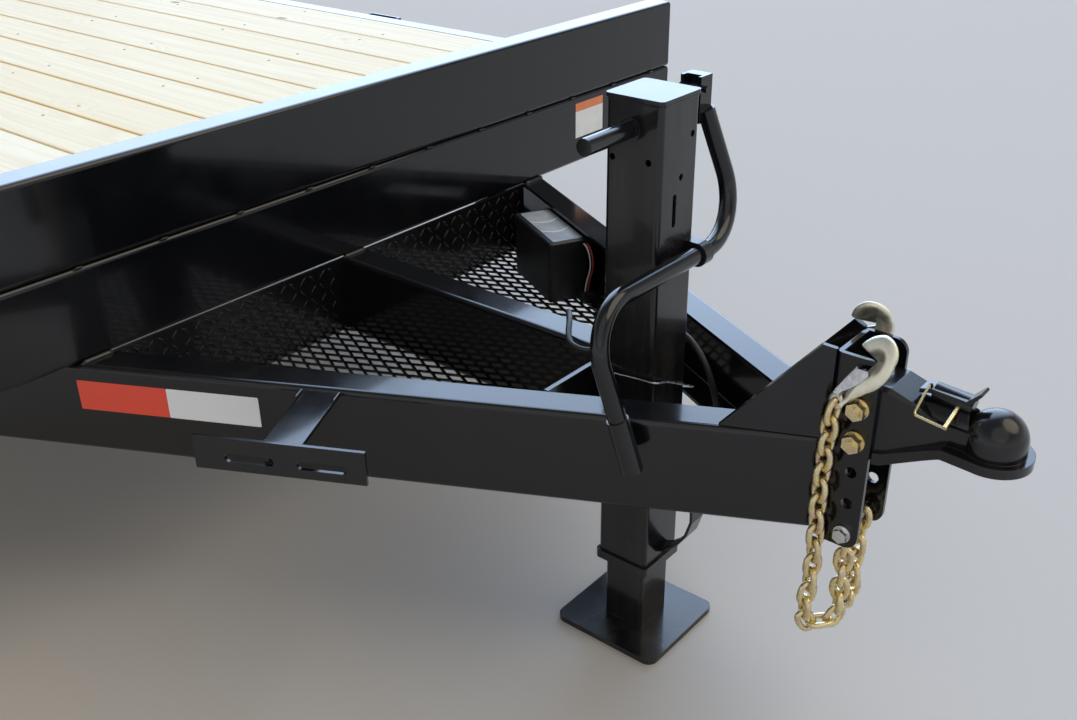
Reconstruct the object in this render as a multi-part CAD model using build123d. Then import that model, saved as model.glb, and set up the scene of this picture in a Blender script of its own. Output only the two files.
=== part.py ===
from build123d import *
import os
from math import atan2, copysign, cos, degrees, hypot, pi, radians, sin, sqrt, tan

# Equipment trailer: a flat wooden deck between channel rails on two sprung axles,
# an A-frame tongue with a tool tray, a drop-leg jack and an adjustable ball coupler.
# Everything is drawn with X forward from the front face of the deck frame, Y to the left
# and Z up from the ground, then moved so that the origin lies under the middle of the whole.

# Main channels
rail_depth = 152.4
rail_flange = 56.0
rail_wall = 6.35
rail_bend = 9.0

# Wheels and frame height
tyre_radius = 388.0
tyre_width = 220.0
frame_over_tyre = 122.0
frame_bottom = tyre_radius + frame_over_tyre

# Frame and deck
half_width = 1057.0
deck_length = 5486.0
dovetail_run = 610.0
dovetail_drop = 115.0
header_depth = 152.4
board_thick = 38.0
board_count = 13
board_gap = 3.0
board_round = 4.0
board_clear = 2.0
nose_gap = 0.2
cross_depth = 76.2
cross_flange = 35.0
cross_wall = 4.8
cross_bend = 7.0
cross_pitch = 406.4

# Tongue
tongue_half_root = 571.0
tongue_half_nose = 45.0
tongue_length = 1007.0
centre_web_y = 21.0
tray_plate = 3.0
tray_floor = 3.0
tray_edge_clear = 4.0

# Jack
jack_x = tongue_length - 334.5
jack_tube_size = 95.0
jack_tube_wall = 4.8
jack_tube_round = 8.0
jack_tube_low = frame_bottom - 378.0
jack_tube_top = frame_bottom + 413.0
jack_cap_size = 99.0
jack_cap_thick = 6.0
jack_band_size = 103.0
jack_band_depth = 16.0
jack_screw_hole = 5.0
jack_slot_length = 50.0
jack_slot_height = 9.0
jack_leg_size = 76.0
jack_leg_wall = 5.0
jack_leg_clear = 0.3
jack_leg_top = jack_tube_low + 428.0
foot_length = 202.0
foot_width = 195.0
foot_thick = 10.0
foot_round = 18.0
jack_carrier_thick = 8.0
shaft_z = frame_bottom + 375.0
shaft_radius = 12.5
shaft_clear = 0.3
shaft_near = 160.0
shaft_far = 105.0
collar_radius = 17.5
collar_thick = 10.0
crank_radius = 13.5
crank_bends = (80.0, 70.0)
crank_clip_wall = 5.0
crank_clip_width = 21.0
crank_clip_y = 26.0
grip_radius = 16.0
grip_length = 85.0
yoke_wall = 5.0
yoke_pin_radius = 5.0

# Coupler bracket
bracket_width = 90.0
bracket_reach = 63.0
bracket_wall = 7.0
bracket_low = frame_bottom - 163.0
bracket_high = frame_bottom + 135.0
bracket_round = 20.0
bracket_hole_x = 41.0
bracket_hole_radius = 8.5
bracket_hole_pitch = 50.8
bracket_hole_count = 6
bracket_hole_low = bracket_low + 22.0
bolt_radius = 8.0
nut_flats = 24.0
nut_thick = 13.0
washer_radius = 15.0
washer_thick = 3.0

# Coupler
coupler_width = 74.4
coupler_nose_width = 60.0
coupler_ridge_radius = 24.0
ball_x = tongue_length + 208.0
ball_z = frame_bottom + 64.0
dome_radius = 40.0
dome_centre_z = ball_z - 7.0
socket_radius = 29.8
brim_radius = 50.0
brim_thick = 14.0
brim_low = ball_z - 37.0
lip_half_width = 43.0

# Running gear
axle_mid_x = -3500.0
axle_spacing = 889.0
tyre_bead = 166.0
tyre_inner_y = half_width + 15.0
rim_radius = 203.0
rim_flange = 219.0
rim_wall = 5.0
rim_seat_clear = 0.3
axle_radius = 38.0
spindle_radius = 22.0
spindle_clear = 0.08
hub_radius = 62.0
drum_radius = 165.0
drum_depth = 70.0
backing_thick = 5.0
spring_y = half_width - rail_flange / 2
spring_width = 44.0
spring_sag = 16.0
leaf_thick = 8.0
leaf_shares = (0.45, 0.72, 1.0)
hanger_drop = 58.0
eye_z = frame_bottom - 38.0
eye_radius = 13.0
ubolt_radius = 6.0
fender_thick = 4.0
fender_top = 2 * tyre_radius + 86.0
fender_outer_y = tyre_inner_y + tyre_width + 1

# Ramps
ramp_length = 1524.0
ramp_width = 458.0
ramp_centre_y = 500.0
ramp_depth = 76.2
ramp_flange = 38.0
ramp_wall = 5.0
ramp_lean = 4.0
ramp_foot_gap = 45.0
hinge_back = 66.0
hinge_drop = 30.0
hinge_pin_radius = 12.7
hinge_clear = 0.08

deck_top = frame_bottom + rail_depth
header_top = deck_top + header_depth
tongue_low = frame_bottom - rail_depth
tail_x = -(deck_length + dovetail_run)
tail_low = frame_bottom - dovetail_drop
tail_top = tail_low + rail_depth
tongue_angle = degrees(atan2(tongue_half_root - tongue_half_nose, tongue_length))
slope_angle = degrees(atan2(dovetail_drop, dovetail_run))
slope_length = hypot(dovetail_drop, dovetail_run)
inner_half = half_width - rail_flange
parts = {}


def block(low, high):
    """Box between two opposite corners."""
    size = [h - l for l, h in zip(low, high)]
    return Pos(*low) * Box(*size, align=Align.MIN)


def rod(start, end, radius):
    """Round bar between two points."""
    line = Vector(*end) - Vector(*start)
    seat = Plane(origin=start, z_dir=line)
    return seat * Cylinder(radius, line.length, align=(Align.CENTER, Align.CENTER, Align.MIN))


def side_plate(points, y_low, y_high):
    """Plate with an outline in X and Z, between two values of Y."""
    face = Plane.XZ * Polygon(*points, align=None)
    return Pos(0, y_high, 0) * extrude(face, y_high - y_low, dir=(0, -1, 0))


def flat_plate(points, z_low, z_high):
    """Plate with an outline in X and Y, between two heights."""
    face = Polygon(*points, align=None)
    return Pos(0, 0, z_low) * extrude(face, z_high - z_low, dir=(0, 0, 1))


def channel_section(depth, flange, wall, bend):
    """C-section in the YZ plane: web's outer face on Y=0, flanges towards -Y, base on Z=0."""
    outer = Pos(-flange / 2, depth / 2) * Rectangle(flange, depth)
    outer = fillet(outer.vertices().sort_by(Axis.X)[-2:], bend)
    inner = Pos(-(flange + wall) / 2, depth / 2) * Rectangle(flange - wall, depth - 2 * wall)
    inner = fillet(inner.vertices().sort_by(Axis.X)[-2:], bend - wall)
    return Plane.YZ * (outer - inner)


def channel(length, depth=rail_depth, flange=rail_flange, wall=rail_wall, bend=rail_bend):
    """Channel along +X from the origin, in the position of its section."""
    return extrude(channel_section(depth, flange, wall, bend), length)


def mirrored(shape):
    """The same shape on the other side of the trailer."""
    return mirror(shape, about=Plane.XZ)


def both_sides(shape):
    return [shape, mirrored(shape)]


def hex_prism(start, end, flats):
    """Hexagonal bar between two points."""
    line = Vector(*end) - Vector(*start)
    seat = Plane(origin=start, z_dir=line)
    return extrude(seat * RegularPolygon(flats / 2, 6, major_radius=False), line.length)


# Deck frame
def end_channel(x, z, turn):
    """Full-width channel whose flanges are cut back to make room for the side rails."""
    bar = Pos(x, 0, z) * Rot(0, 0, turn) * Pos(-half_width, 0, 0) * channel(2 * half_width)
    depth_way = -1 if turn < 0 else 1
    near, far = sorted((x + depth_way * rail_wall, x + depth_way * rail_flange * 1.5))
    for side in (-1, 1):
        low_y, high_y = sorted((side * inner_half, side * half_width * 1.1))
        bar -= block((near, low_y, z - 1), (far, high_y, z + rail_depth + 1))
    return bar


parts["front_channel"] = end_channel(0, frame_bottom, -90)
parts["rear_channel"] = end_channel(tail_x, tail_low, 90)
header = Pos(0, half_width, deck_top) * Rot(0, 0, -90)
parts["header_rail"] = header * channel(2 * half_width, header_depth)
side_rail = Pos(-deck_length, half_width, frame_bottom) * channel(deck_length - rail_wall)
parts["side_rail_left"] = side_rail
parts["side_rail_right"] = mirrored(side_rail)

slope_way = (-cos(radians(slope_angle)), 0, -sin(radians(slope_angle)))
tail_section = channel_section(rail_depth, rail_flange, rail_wall, rail_bend)
tail_rail_length = (dovetail_run - rail_wall) / cos(radians(slope_angle))
tail_rail = extrude(
    Pos(-deck_length, half_width, frame_bottom) * tail_section, tail_rail_length, dir=slope_way
)
parts["dovetail_rails"] = both_sides(tail_rail)

slope = Pos(-deck_length, 0, deck_top) * Rot(0, -slope_angle, 0)
web_inside = half_width - rail_wall
cross_low = -board_thick - cross_depth
cross_bar = Pos(0, web_inside, cross_low) * Rot(0, 0, -90)
cross_bar = cross_bar * channel(2 * web_inside, cross_depth, cross_flange, cross_wall, cross_bend)
flat_count = int((deck_length - cross_flange) // cross_pitch)
crossmembers = [Pos(-cross_pitch * (i + 1), 0, deck_top) * cross_bar for i in range(flat_count)]
crossmembers += [slope * Pos(-slope_length * share, 0, 0) * cross_bar for share in (0.2, 0.65)]
parts["crossmembers"] = crossmembers

board_pitch = 2 * inner_half / board_count
board_width = board_pitch - board_gap


def board(length):
    """Plank along -X from the origin, its top face on Z=0, its upper edges eased."""
    face = Pos(0, -board_thick / 2) * Rectangle(board_width, board_thick)
    face = fillet(face.vertices().sort_by(Axis.Y)[-2:], board_round)
    return Pos(-length, 0, 0) * extrude(Plane.YZ * face, length)


def board_row(length):
    middle = (board_count - 1) / 2
    plank = board(length)
    return [Pos(0, (i - middle) * board_pitch, 0) * plank for i in range(board_count)]


flat_start = rail_flange + board_clear
kink_gap = board_thick * sin(radians(slope_angle)) + board_clear
flat_boards = board_row(deck_length - flat_start)
parts["deck_boards"] = [Pos(-flat_start, 0, deck_top) * plank for plank in flat_boards]
slope_boards = board_row(slope_length - kink_gap - rail_flange - board_clear)
parts["dovetail_boards"] = [slope * Pos(-kink_gap, 0, 0) * plank for plank in slope_boards]


# Tongue
def tongue_rail():
    """Left rail of the A-frame, cut square at the nose and along the side rail and centre line."""
    back = 1200.0
    turn = Pos(0, tongue_half_root, tongue_low) * Rot(0, 0, -tongue_angle)
    bar = turn * Pos(-back, 0, 0) * channel(back + 1.3 * tongue_length)
    low = (-back, nose_gap, tongue_low - 1)
    keep = block(low, (tongue_length, half_width - rail_bend, frame_bottom + 1))
    return bar & keep


parts["tongue_rail_left"] = tongue_rail()
parts["tongue_rail_right"] = mirrored(parts["tongue_rail_left"])
centre_end = jack_x - jack_tube_size / 2 - jack_carrier_thick
centre_bar = Pos(0, centre_web_y, tongue_low) * channel(centre_end)
parts["centre_member"] = mirrored(centre_bar)


def rail_web_y(x, inset):
    """Half-width between the tongue rails at X, measured inset from their outer faces."""
    return tongue_half_root - x * tan(radians(tongue_angle)) - inset / cos(radians(tongue_angle))


floor_z = tongue_low + rail_wall
plate_half = rail_web_y(0, rail_flange) - board_clear
parts["tray_back_plate"] = block((-tray_plate, -plate_half, floor_z), (0, plate_half, frame_bottom))
mesh_inset = rail_wall + tray_edge_clear


def mesh_panel(inner_y, side):
    outline = [
        (0, side * inner_y),
        (centre_end, side * inner_y),
        (centre_end, side * rail_web_y(centre_end, mesh_inset)),
        (0, side * rail_web_y(0, mesh_inset)),
    ]
    return flat_plate(outline, floor_z, floor_z + tray_floor)


parts["tray_mesh"] = [mesh_panel(centre_web_y + 1, -1), mesh_panel(-centre_web_y + 2 * rail_wall, 1)]

carrier_front = jack_x - jack_tube_size / 2
carrier_half = rail_web_y(carrier_front, rail_flange) - board_clear
parts["jack_carrier"] = block(
    (centre_end, -carrier_half, tongue_low), (carrier_front, carrier_half, frame_bottom)
)


# Jack
def square_tube(size, wall, corner, low, high):
    outer = RectangleRounded(size, size, corner)
    inner = RectangleRounded(size - 2 * wall, size - 2 * wall, max(corner - wall, 1))
    return Pos(jack_x, 0, low) * extrude(outer - inner, high - low)


jack_tube = square_tube(jack_tube_size, jack_tube_wall, jack_tube_round, jack_tube_low, jack_tube_top)
band_wall = (jack_band_size - jack_leg_size) / 2 - jack_leg_clear
jack_tube += square_tube(
    jack_band_size, band_wall, jack_tube_round, jack_tube_low, jack_tube_low + jack_band_depth
)
jack_cap = RectangleRounded(jack_cap_size, jack_cap_size, jack_tube_round)
jack_tube += Pos(jack_x, 0, jack_tube_top) * extrude(jack_cap, jack_cap_thick)
half_tube = jack_tube_size / 2
jack_front = jack_x + half_tube
jack_tube -= rod((jack_x, -100, shaft_z), (jack_x, 100, shaft_z), shaft_radius + shaft_clear)
for x, z in ((jack_x - 35, shaft_z - 47), (jack_x + 27, shaft_z - 45)):
    jack_tube -= rod((x, -half_tube - 5, z), (x, -half_tube + 8, z), jack_screw_hole)
for y, z in ((31, shaft_z - 17), (6, shaft_z - 75)):
    jack_tube -= rod((jack_front - 8, y, z), (jack_front + 5, y, z), jack_screw_hole)
jack_slot = Plane.YZ * Rot(0, 0, 90) * SlotOverall(jack_slot_length, jack_slot_height)
jack_tube -= Pos(jack_front - 8, -8, shaft_z - 122) * extrude(jack_slot, 16)

# Crank handle, folded down across the jack's front
crank_points = [
    (jack_x + 17.5, shaft_far + 7, shaft_z - 5),
    (jack_x + 65.5, 160, shaft_z - 197),
    (jack_x + 69.5, -241, shaft_z - 194),
    (jack_x + 122.5, -202, shaft_z - 433),
]
crank_path = FilletPolyline(*crank_points, radius=list(crank_bends))
crank_seat = Plane(origin=crank_path @ 0, z_dir=crank_path % 0)
crank = sweep(crank_seat * Circle(crank_radius), path=crank_path)
crank_end = Vector(*crank_points[-1])
grip_start = crank_end - (crank_path % 1) * grip_length
crank += rod(grip_start, crank_points[-1], grip_radius)
yoke_gap = shaft_radius + shaft_clear
yoke_half = yoke_gap + yoke_wall
yoke_low_y = shaft_far - 10
yoke_high_y = shaft_far + 20
crank += block(
    (jack_x - yoke_half, yoke_low_y, shaft_z - 24), (jack_x + yoke_half, yoke_high_y, shaft_z + 45)
)
crank -= block(
    (jack_x - yoke_gap, yoke_low_y - 20, shaft_z - 60),
    (jack_x + yoke_gap, shaft_far + shaft_clear, shaft_z + 60),
)
yoke_pin_y, yoke_pin_z = shaft_far - 1, shaft_z + 26
pin_start = (jack_x - yoke_half - 6, yoke_pin_y, yoke_pin_z)
pin_end = (jack_x + yoke_half + 6, yoke_pin_y, yoke_pin_z)
crank += rod(pin_start, pin_end, yoke_pin_radius)
parts["jack_crank"] = crank

# Clip on the jack's front that holds the folded crank
clip_radius = crank_radius + crank_clip_wall
level_start, level_end = Vector(*crank_points[1]), Vector(*crank_points[2])


def crank_at(y):
    """Middle of the crank's level stretch at a given Y."""
    share = (level_start.Y - y) / (level_start.Y - level_end.Y)
    return level_start + (level_end - level_start) * share


clip_ends = (crank_at(crank_clip_y), crank_at(crank_clip_y + crank_clip_width))
clip_middle = crank_at(crank_clip_y + crank_clip_width / 2)
clip = rod(clip_ends[0], clip_ends[1], clip_radius)
clip += block(
    (jack_front - 1, crank_clip_y, clip_middle.Z - clip_radius),
    (clip_middle.X, crank_clip_y + crank_clip_width, clip_middle.Z + clip_radius),
)
crank_room = crank_radius + shaft_clear
clip -= rod(crank_at(-40), crank_at(120), crank_room)
parts["jack_tube"] = jack_tube + clip

shaft = rod((jack_x, -shaft_near, shaft_z), (jack_x, shaft_far, shaft_z), shaft_radius)
for way in (-1, 1):
    face = way * half_tube
    edge = way * (half_tube + collar_thick)
    shaft += rod((jack_x, face, shaft_z), (jack_x, edge, shaft_z), collar_radius)
parts["jack_shaft"] = shaft

leg = square_tube(jack_leg_size, jack_leg_wall, jack_tube_round - 2, foot_thick, jack_leg_top)
foot = extrude(RectangleRounded(foot_length, foot_width, foot_round), foot_thick)
parts["jack_leg"] = leg + Pos(jack_x, 0, 0) * foot

# Coupler bracket, standing on the nose of the tongue
bracket_half = bracket_width / 2
bracket_outer = Pos(bracket_reach / 2, 0) * Rectangle(bracket_reach, bracket_width)
bracket_outer = fillet(bracket_outer.vertices().sort_by(Axis.X)[:2], bracket_wall + 1)
slot_width = bracket_width - 2 * bracket_wall
bracket_inner = Pos((bracket_reach + bracket_wall) / 2, 0)
bracket_inner = bracket_inner * Rectangle(bracket_reach - bracket_wall, slot_width)
bracket = extrude(bracket_outer - bracket_inner, bracket_high - bracket_low)
corners = bracket.edges().filter_by(Axis.Y).filter_by(lambda e: e.center().X > bracket_reach - 1)
bracket = fillet(corners, bracket_round)
for i in range(bracket_hole_count):
    z = bracket_hole_low - bracket_low + i * bracket_hole_pitch
    bracket -= rod((bracket_hole_x, -60, z), (bracket_hole_x, 60, z), bracket_hole_radius)
parts["coupler_bracket"] = Pos(tongue_length, 0, bracket_low) * bracket

# Gusset plates between the tongue rails' tops and the bracket
gusset_thick = 8.0
gusset_inset = 11.5
gusset_length_x = 136.0
gusset_height = 137.0
gusset_peak = 142.0
gusset_peak_back = 20.0
gusset_back_x = tongue_length - gusset_length_x
gusset_back_y = rail_web_y(gusset_back_x, gusset_inset)
gusset_front_y = bracket_half - gusset_thick / 2
gusset_run = hypot(gusset_length_x, gusset_back_y - gusset_front_y)
gusset_angle = degrees(atan2(gusset_back_y - gusset_front_y, gusset_length_x))
gusset_face = Polygon(
    (0, 0),
    (gusset_run, 0),
    (gusset_run, gusset_height),
    (gusset_run - gusset_peak_back, gusset_peak),
    align=None,
)
gusset = extrude(Plane.XZ * gusset_face, gusset_thick / 2, both=True)
gusset = Pos(gusset_back_x, gusset_back_y, frame_bottom) * Rot(0, 0, -gusset_angle) * gusset
gusset &= block((0, 0, 0), (tongue_length, half_width, 2 * frame_bottom))
parts["nose_gussets"] = both_sides(gusset)

# Coupler: a cast body bolted in the bracket, with the ball dome at its front
hole_x = tongue_length + bracket_hole_x
upper_bolt_z = bracket_hole_low + 4 * bracket_hole_pitch
lower_bolt_z = bracket_hole_low + 3 * bracket_hole_pitch
coupler_back = tongue_length + bracket_wall + 1
half_body = coupler_width / 2
half_nose = coupler_nose_width / 2
shoulder_x = tongue_length + 78.0
neck_x = tongue_length + 155.0
body_low = ball_z - 78.0
body_side = [
    (coupler_back, body_low),
    (shoulder_x, body_low),
    (neck_x, brim_low),
    (ball_x, brim_low),
    (ball_x, brim_low + 40),
    (neck_x - 15, brim_low + 43),
    (shoulder_x + 33, brim_low + 59),
    (shoulder_x - 4, brim_low + 71),
    (coupler_back, brim_low + 71),
]
body = side_plate(body_side, -half_body, half_body)
top_edges = body.edges().filter_by(
    lambda e: abs(abs(e.center().Y) - half_body) < 0.1 and e.center().Z > brim_low + 62
)
body = chamfer(top_edges, 6)
body_plan = [
    (coupler_back, half_body),
    (shoulder_x, half_body),
    (neck_x, half_nose),
    (ball_x, half_nose),
    (ball_x, -half_nose),
    (neck_x, -half_nose),
    (shoulder_x, -half_body),
    (coupler_back, -half_body),
]
body &= flat_plate(body_plan, body_low - 10, brim_low + 100)
body += rod((shoulder_x, 0, ball_z), (ball_x, 0, ball_z), coupler_ridge_radius)

# Turned-down lip along the body's foot, which runs into the brim round the socket
lip_start = tongue_length + bracket_reach + 3
lip_side = [
    (lip_start, body_low - 3),
    (shoulder_x, body_low),
    (neck_x, brim_low),
    (ball_x, brim_low),
    (ball_x, brim_low + brim_thick),
    (neck_x, brim_low + brim_thick),
    (shoulder_x, body_low + 18),
    (lip_start, body_low + 15),
]
lip_plan = [
    (lip_start, lip_half_width),
    (neck_x - 20, lip_half_width),
    (ball_x, brim_radius),
    (ball_x, -brim_radius),
    (neck_x - 20, -lip_half_width),
    (lip_start, -lip_half_width),
]
lip = side_plate(lip_side, -brim_radius, brim_radius)
lip &= flat_plate(lip_plan, body_low - 10, ball_z)
hollow = side_plate(
    [
        (shoulder_x + 10, body_low - 20),
        (ball_x, body_low - 20),
        (ball_x, ball_z),
        (neck_x - 12, ball_z),
        (shoulder_x + 10, ball_z - 20),
    ],
    -21,
    21,
)
coupler = body + lip - hollow
coupler -= rod((ball_x, 0, body_low - 20), (ball_x, 0, brim_low + 100), dome_radius - 3)

# Dome and brim, turned about the ball's upright axis
top_of_dome = dome_centre_z + dome_radius
top_of_socket = ball_z + socket_radius
dome_slant = dome_radius * cos(radians(45))
socket_slant = socket_radius * cos(radians(45))
dome_outline = Curve() + [
    Line((socket_radius, brim_low), (brim_radius, brim_low)),
    Line((brim_radius, brim_low), (brim_radius, brim_low + brim_thick)),
    Line((brim_radius, brim_low + brim_thick), (dome_radius, brim_low + brim_thick)),
    Line((dome_radius, brim_low + brim_thick), (dome_radius, dome_centre_z)),
    ThreePointArc(
        (dome_radius, dome_centre_z), (dome_slant, dome_centre_z + dome_slant), (0, top_of_dome)
    ),
    Line((0, top_of_dome), (0, top_of_socket)),
    ThreePointArc(
        (0, top_of_socket), (socket_slant, ball_z + socket_slant), (socket_radius, ball_z)
    ),
    Line((socket_radius, ball_z), (socket_radius, brim_low)),
]
dome = revolve(Plane.XZ * make_face(dome_outline), Axis.Z, 360)
coupler += Pos(ball_x, 0, 0) * dome
for z in (upper_bolt_z, lower_bolt_z):
    coupler -= rod((hole_x, -60, z), (hole_x, 60, z), bracket_hole_radius)
parts["coupler"] = coupler

# Latch: a lever with a curved-up tip over a round cam, and its square snap pin
latch_x = tongue_length + 105.0
latch_z = frame_bottom + 101.0
lever_side = [
    (latch_x, latch_z),
    (latch_x + 15, latch_z + 4),
    (latch_x + 62, latch_z + 1),
    (latch_x + 77, latch_z + 17),
    (latch_x + 80, latch_z + 14),
    (latch_x + 66, latch_z - 4),
    (latch_x + 16, latch_z - 2),
    (latch_x, latch_z - 6),
]
latch = side_plate(lever_side, -13, 13)
latch += rod((latch_x + 16, 0, latch_z - 4), (latch_x + 69, 0, latch_z - 10), 12)
latch -= coupler
pin_wire = 1.9
pin_leg = 3.2
pin_corners = [
    (latch_x + 12.5, -5, latch_z - 1),
    (latch_x + 12.5, -5, latch_z + 14),
    (latch_x + 9, -46, latch_z - 21),
    (latch_x + 51, -47, latch_z - 26),
]
snap_path = FilletPolyline(*pin_corners, radius=5)
snap_seat = Plane(origin=snap_path @ 0, z_dir=snap_path % 0)
latch += sweep(snap_seat * Circle(pin_wire), path=snap_path)
latch += rod(pin_corners[-1], (latch_x + 52.5, -5, latch_z - 8), pin_leg)
parts["coupler_latch"] = latch

# Bolts through bracket and coupler, and the bolt that carries the chains
nut_low = bracket_half + washer_thick


def through_bolt(z):
    bolt = rod((hole_x, -nut_low - nut_thick - 4, z), (hole_x, nut_low, z), bolt_radius)
    for side in (-1, 1):
        start = (hole_x, side * bracket_half, z)
        bolt += rod(start, (hole_x, side * nut_low, z), washer_radius)
        seat = (hole_x, side * nut_low, z)
        bolt += hex_prism(seat, (hole_x, side * (nut_low + nut_thick), z), nut_flats)
    return bolt


parts["coupler_bolts"] = [through_bolt(upper_bolt_z), through_bolt(lower_bolt_z)]

chain_bolt_radius = 5.0
chain_nut_thick = 9.0
chain_nut_flats = 19.0
chain_bolt_z = bracket_hole_low
chain_bolt = rod(
    (hole_x, -nut_low, chain_bolt_z), (hole_x, nut_low + chain_nut_thick, chain_bolt_z), chain_bolt_radius
)
for side in (-1, 1):
    washer_seat = (hole_x, side * bracket_half, chain_bolt_z)
    chain_bolt += rod(washer_seat, (hole_x, side * nut_low, chain_bolt_z), washer_radius - 2)
    nut_seat = (hole_x, side * nut_low, chain_bolt_z)
    nut_end = (hole_x, side * (nut_low + chain_nut_thick), chain_bolt_z)
    chain_bolt += hex_prism(nut_seat, nut_end, chain_nut_flats)
parts["chain_bolt"] = chain_bolt

# Safety chains and their slip hooks
chain_wire = 8.7
link_inner = 26.2
link_gap = 13.0
link_slack = 0.5
link_drop = 1.3
chain_links = 23
chain_inside_y = 20.0
ring_radius = (link_gap + chain_wire) / 2
half_core = (link_inner + chain_wire) / 2 - ring_radius
hook_thick = 13.0
eye_thick = 8.0
eye_outer = 12.5
eye_hole = 7.2
hook_eye = (-39.0, -89.0)


def link_solid():
    """Link in the XY plane, long way on X, of six-sided wire, its ends drawn as half octagons."""
    cut = ring_radius * tan(radians(22.5))
    reach = half_core + ring_radius
    ring = [
        (half_core + cut, -ring_radius, 0),
        (reach, -cut, 0),
        (reach, cut, 0),
        (half_core + cut, ring_radius, 0),
        (-half_core - cut, ring_radius, 0),
        (-reach, cut, 0),
        (-reach, -cut, 0),
        (-half_core - cut, -ring_radius, 0),
    ]
    side_middle = (0, -ring_radius, 0)
    path = Polyline(side_middle, *ring, close=True)
    seat = Plane(origin=side_middle, x_dir=(0, 0, 1), z_dir=(1, 0, 0))
    wire = seat * RegularPolygon(chain_wire / 2, 6, major_radius=False)
    return sweep(wire, path=path, transition=Transition.RIGHT)


def slip_hook():
    """Hook in the XY plane with its crown at the origin and its eye below, mouth towards -X."""
    outline = Curve() + [
        ThreePointArc((-34, -77), (-10, -57), (8, -39)),
        Line((8, -39), (8, -21)),
        ThreePointArc((8, -21), (3, -11), (-7, -8)),
        Line((-7, -8), (-35, -10)),
        ThreePointArc((-35, -10), (-22, 8), (-4, 17)),
        ThreePointArc((-4, 17), (18, 7), (24, -17)),
        ThreePointArc((24, -17), (18, -45), (-2, -67)),
        Line((-2, -67), (-28, -91)),
        Line((-28, -91), (-34, -77)),
    ]
    body = extrude(make_face(outline), hook_thick / 2, both=True)
    eye_place = Pos(*hook_eye, 0)
    body += eye_place * extrude(Circle(eye_outer), eye_thick / 2, both=True)
    body -= eye_place * extrude(Circle(eye_hole), hook_thick, both=True)
    return body


def joints_on(stops, lengths, onward):
    """Points on a curve through stops, each a given straight distance from the last.

    Also how far the last of them lies past the curve's end, where it runs onward.
    """
    steps = 300
    curve = Spline(*stops, tangents=[(0, 0, -1), tuple(onward)])
    samples = [curve @ (i / steps) for i in range(steps + 1)]
    samples += [samples[-1] + onward * 2 * i for i in range(1, 60)]
    points = [samples[0]]
    seat = 0
    for length in lengths:
        here = points[-1]
        while (samples[seat] - here).length < length:
            seat += 1
        before, after = samples[seat - 1], samples[seat]
        near, far = (before - here).length, (after - here).length
        points.append(before + (after - before) * ((length - near) / (far - near)))
    return points, (points[-1] - samples[steps]).dot(onward)


def link_normals(ways, first, last):
    """Normals of links that follow one another along ways, a quarter turn and an even share
    of twist apart, so that they start as first and end parallel to last."""
    carried = [first]
    for way in ways:
        carried.append((carried[-1] - way * carried[-1].dot(way)).normalized())
    aim = last - ways[-1] * last.dot(ways[-1])
    across = ways[-1].cross(carried[-1])
    steps = len(ways) - 1
    rest = degrees(atan2(aim.dot(across), aim.dot(carried[-1]))) - 90 * steps
    turn = 90 + ((rest + 90) % 180 - 90) / steps
    return [
        normal.rotate(Axis((0, 0, 0), way), i * turn)
        for i, (normal, way) in enumerate(zip(carried[1:], ways))
    ]


def safety_chain(crown, u_way, v_way, up_leg, rise):
    """Slip hook with its crown and directions, and the chain up to it from the bolt.

    The chain hangs from the bolt in a round bight to the foot of its up leg, whose height is
    found so that the links end in the hook's eye.
    """
    u, v = Vector(*u_way).normalized(), Vector(*v_way).normalized()
    across = u.cross(v)
    hook_seat = Plane(origin=crown, x_dir=u, z_dir=across)
    eye = Vector(*crown) + u * hook_eye[0] + v * hook_eye[1]
    upward = (Vector(0, 0, 1) - across * across.Z).normalized()
    end = eye - upward * (eye_outer + eye_hole) / 2
    start = (hole_x, copysign(chain_inside_y, crown[1]), chain_bolt_z - link_drop)
    down_leg = (start[0] - 2, start[1] * 1.1)
    middle = ((down_leg[0] + up_leg[0]) / 2, (down_leg[1] + up_leg[1]) / 2)
    bight_radius = hypot(down_leg[0] - up_leg[0], down_leg[1] - up_leg[1]) / 2
    cross_length = 2 * (link_inner - half_core) - link_slack
    lengths = [cross_length if i % 2 else 2 * half_core for i in range(chain_links)]
    shallow, deep = frame_bottom - 250.0, frame_bottom - 430.0
    for _ in range(16):
        low = (shallow + deep) / 2
        bight = [
            (*down_leg, low + 2.5 * bight_radius),
            (*down_leg, low + bight_radius),
            (*middle, low),
            (*up_leg, low + bight_radius),
            (*up_leg, low + 2.5 * bight_radius),
        ]
        points, past = joints_on([start, *bight, *rise, tuple(end)], lengths, upward)
        if past > 0:
            shallow = low
        else:
            deep = low

    ways = [(b - a).normalized() for a, b in zip(points, points[1:])]
    bends = [way.get_angle(after) for way, after in zip(ways, ways[1:])]
    turn_start = max(range(0, chain_links - 1, 2), key=lambda i: bends[i])
    turn_end = turn_start + 2
    bend_normal = Vector(down_leg[1] - up_leg[1], up_leg[0] - down_leg[0], 0).normalized()
    normals = link_normals(ways[: turn_start + 1], Vector(0, 1, 0), bend_normal)
    normals += link_normals(ways[turn_start : turn_end + 1], normals[-1], bend_normal)[1:]
    normals += link_normals(ways[turn_end:], normals[-1], upward.cross(across))[1:]
    link = link_solid()
    solids = [hook_seat * slip_hook()]
    for i, (way, normal) in enumerate(zip(ways, normals)):
        solids.append(Plane(origin=(points[i] + points[i + 1]) / 2, x_dir=way, z_dir=normal) * link)
    return solids


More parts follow.
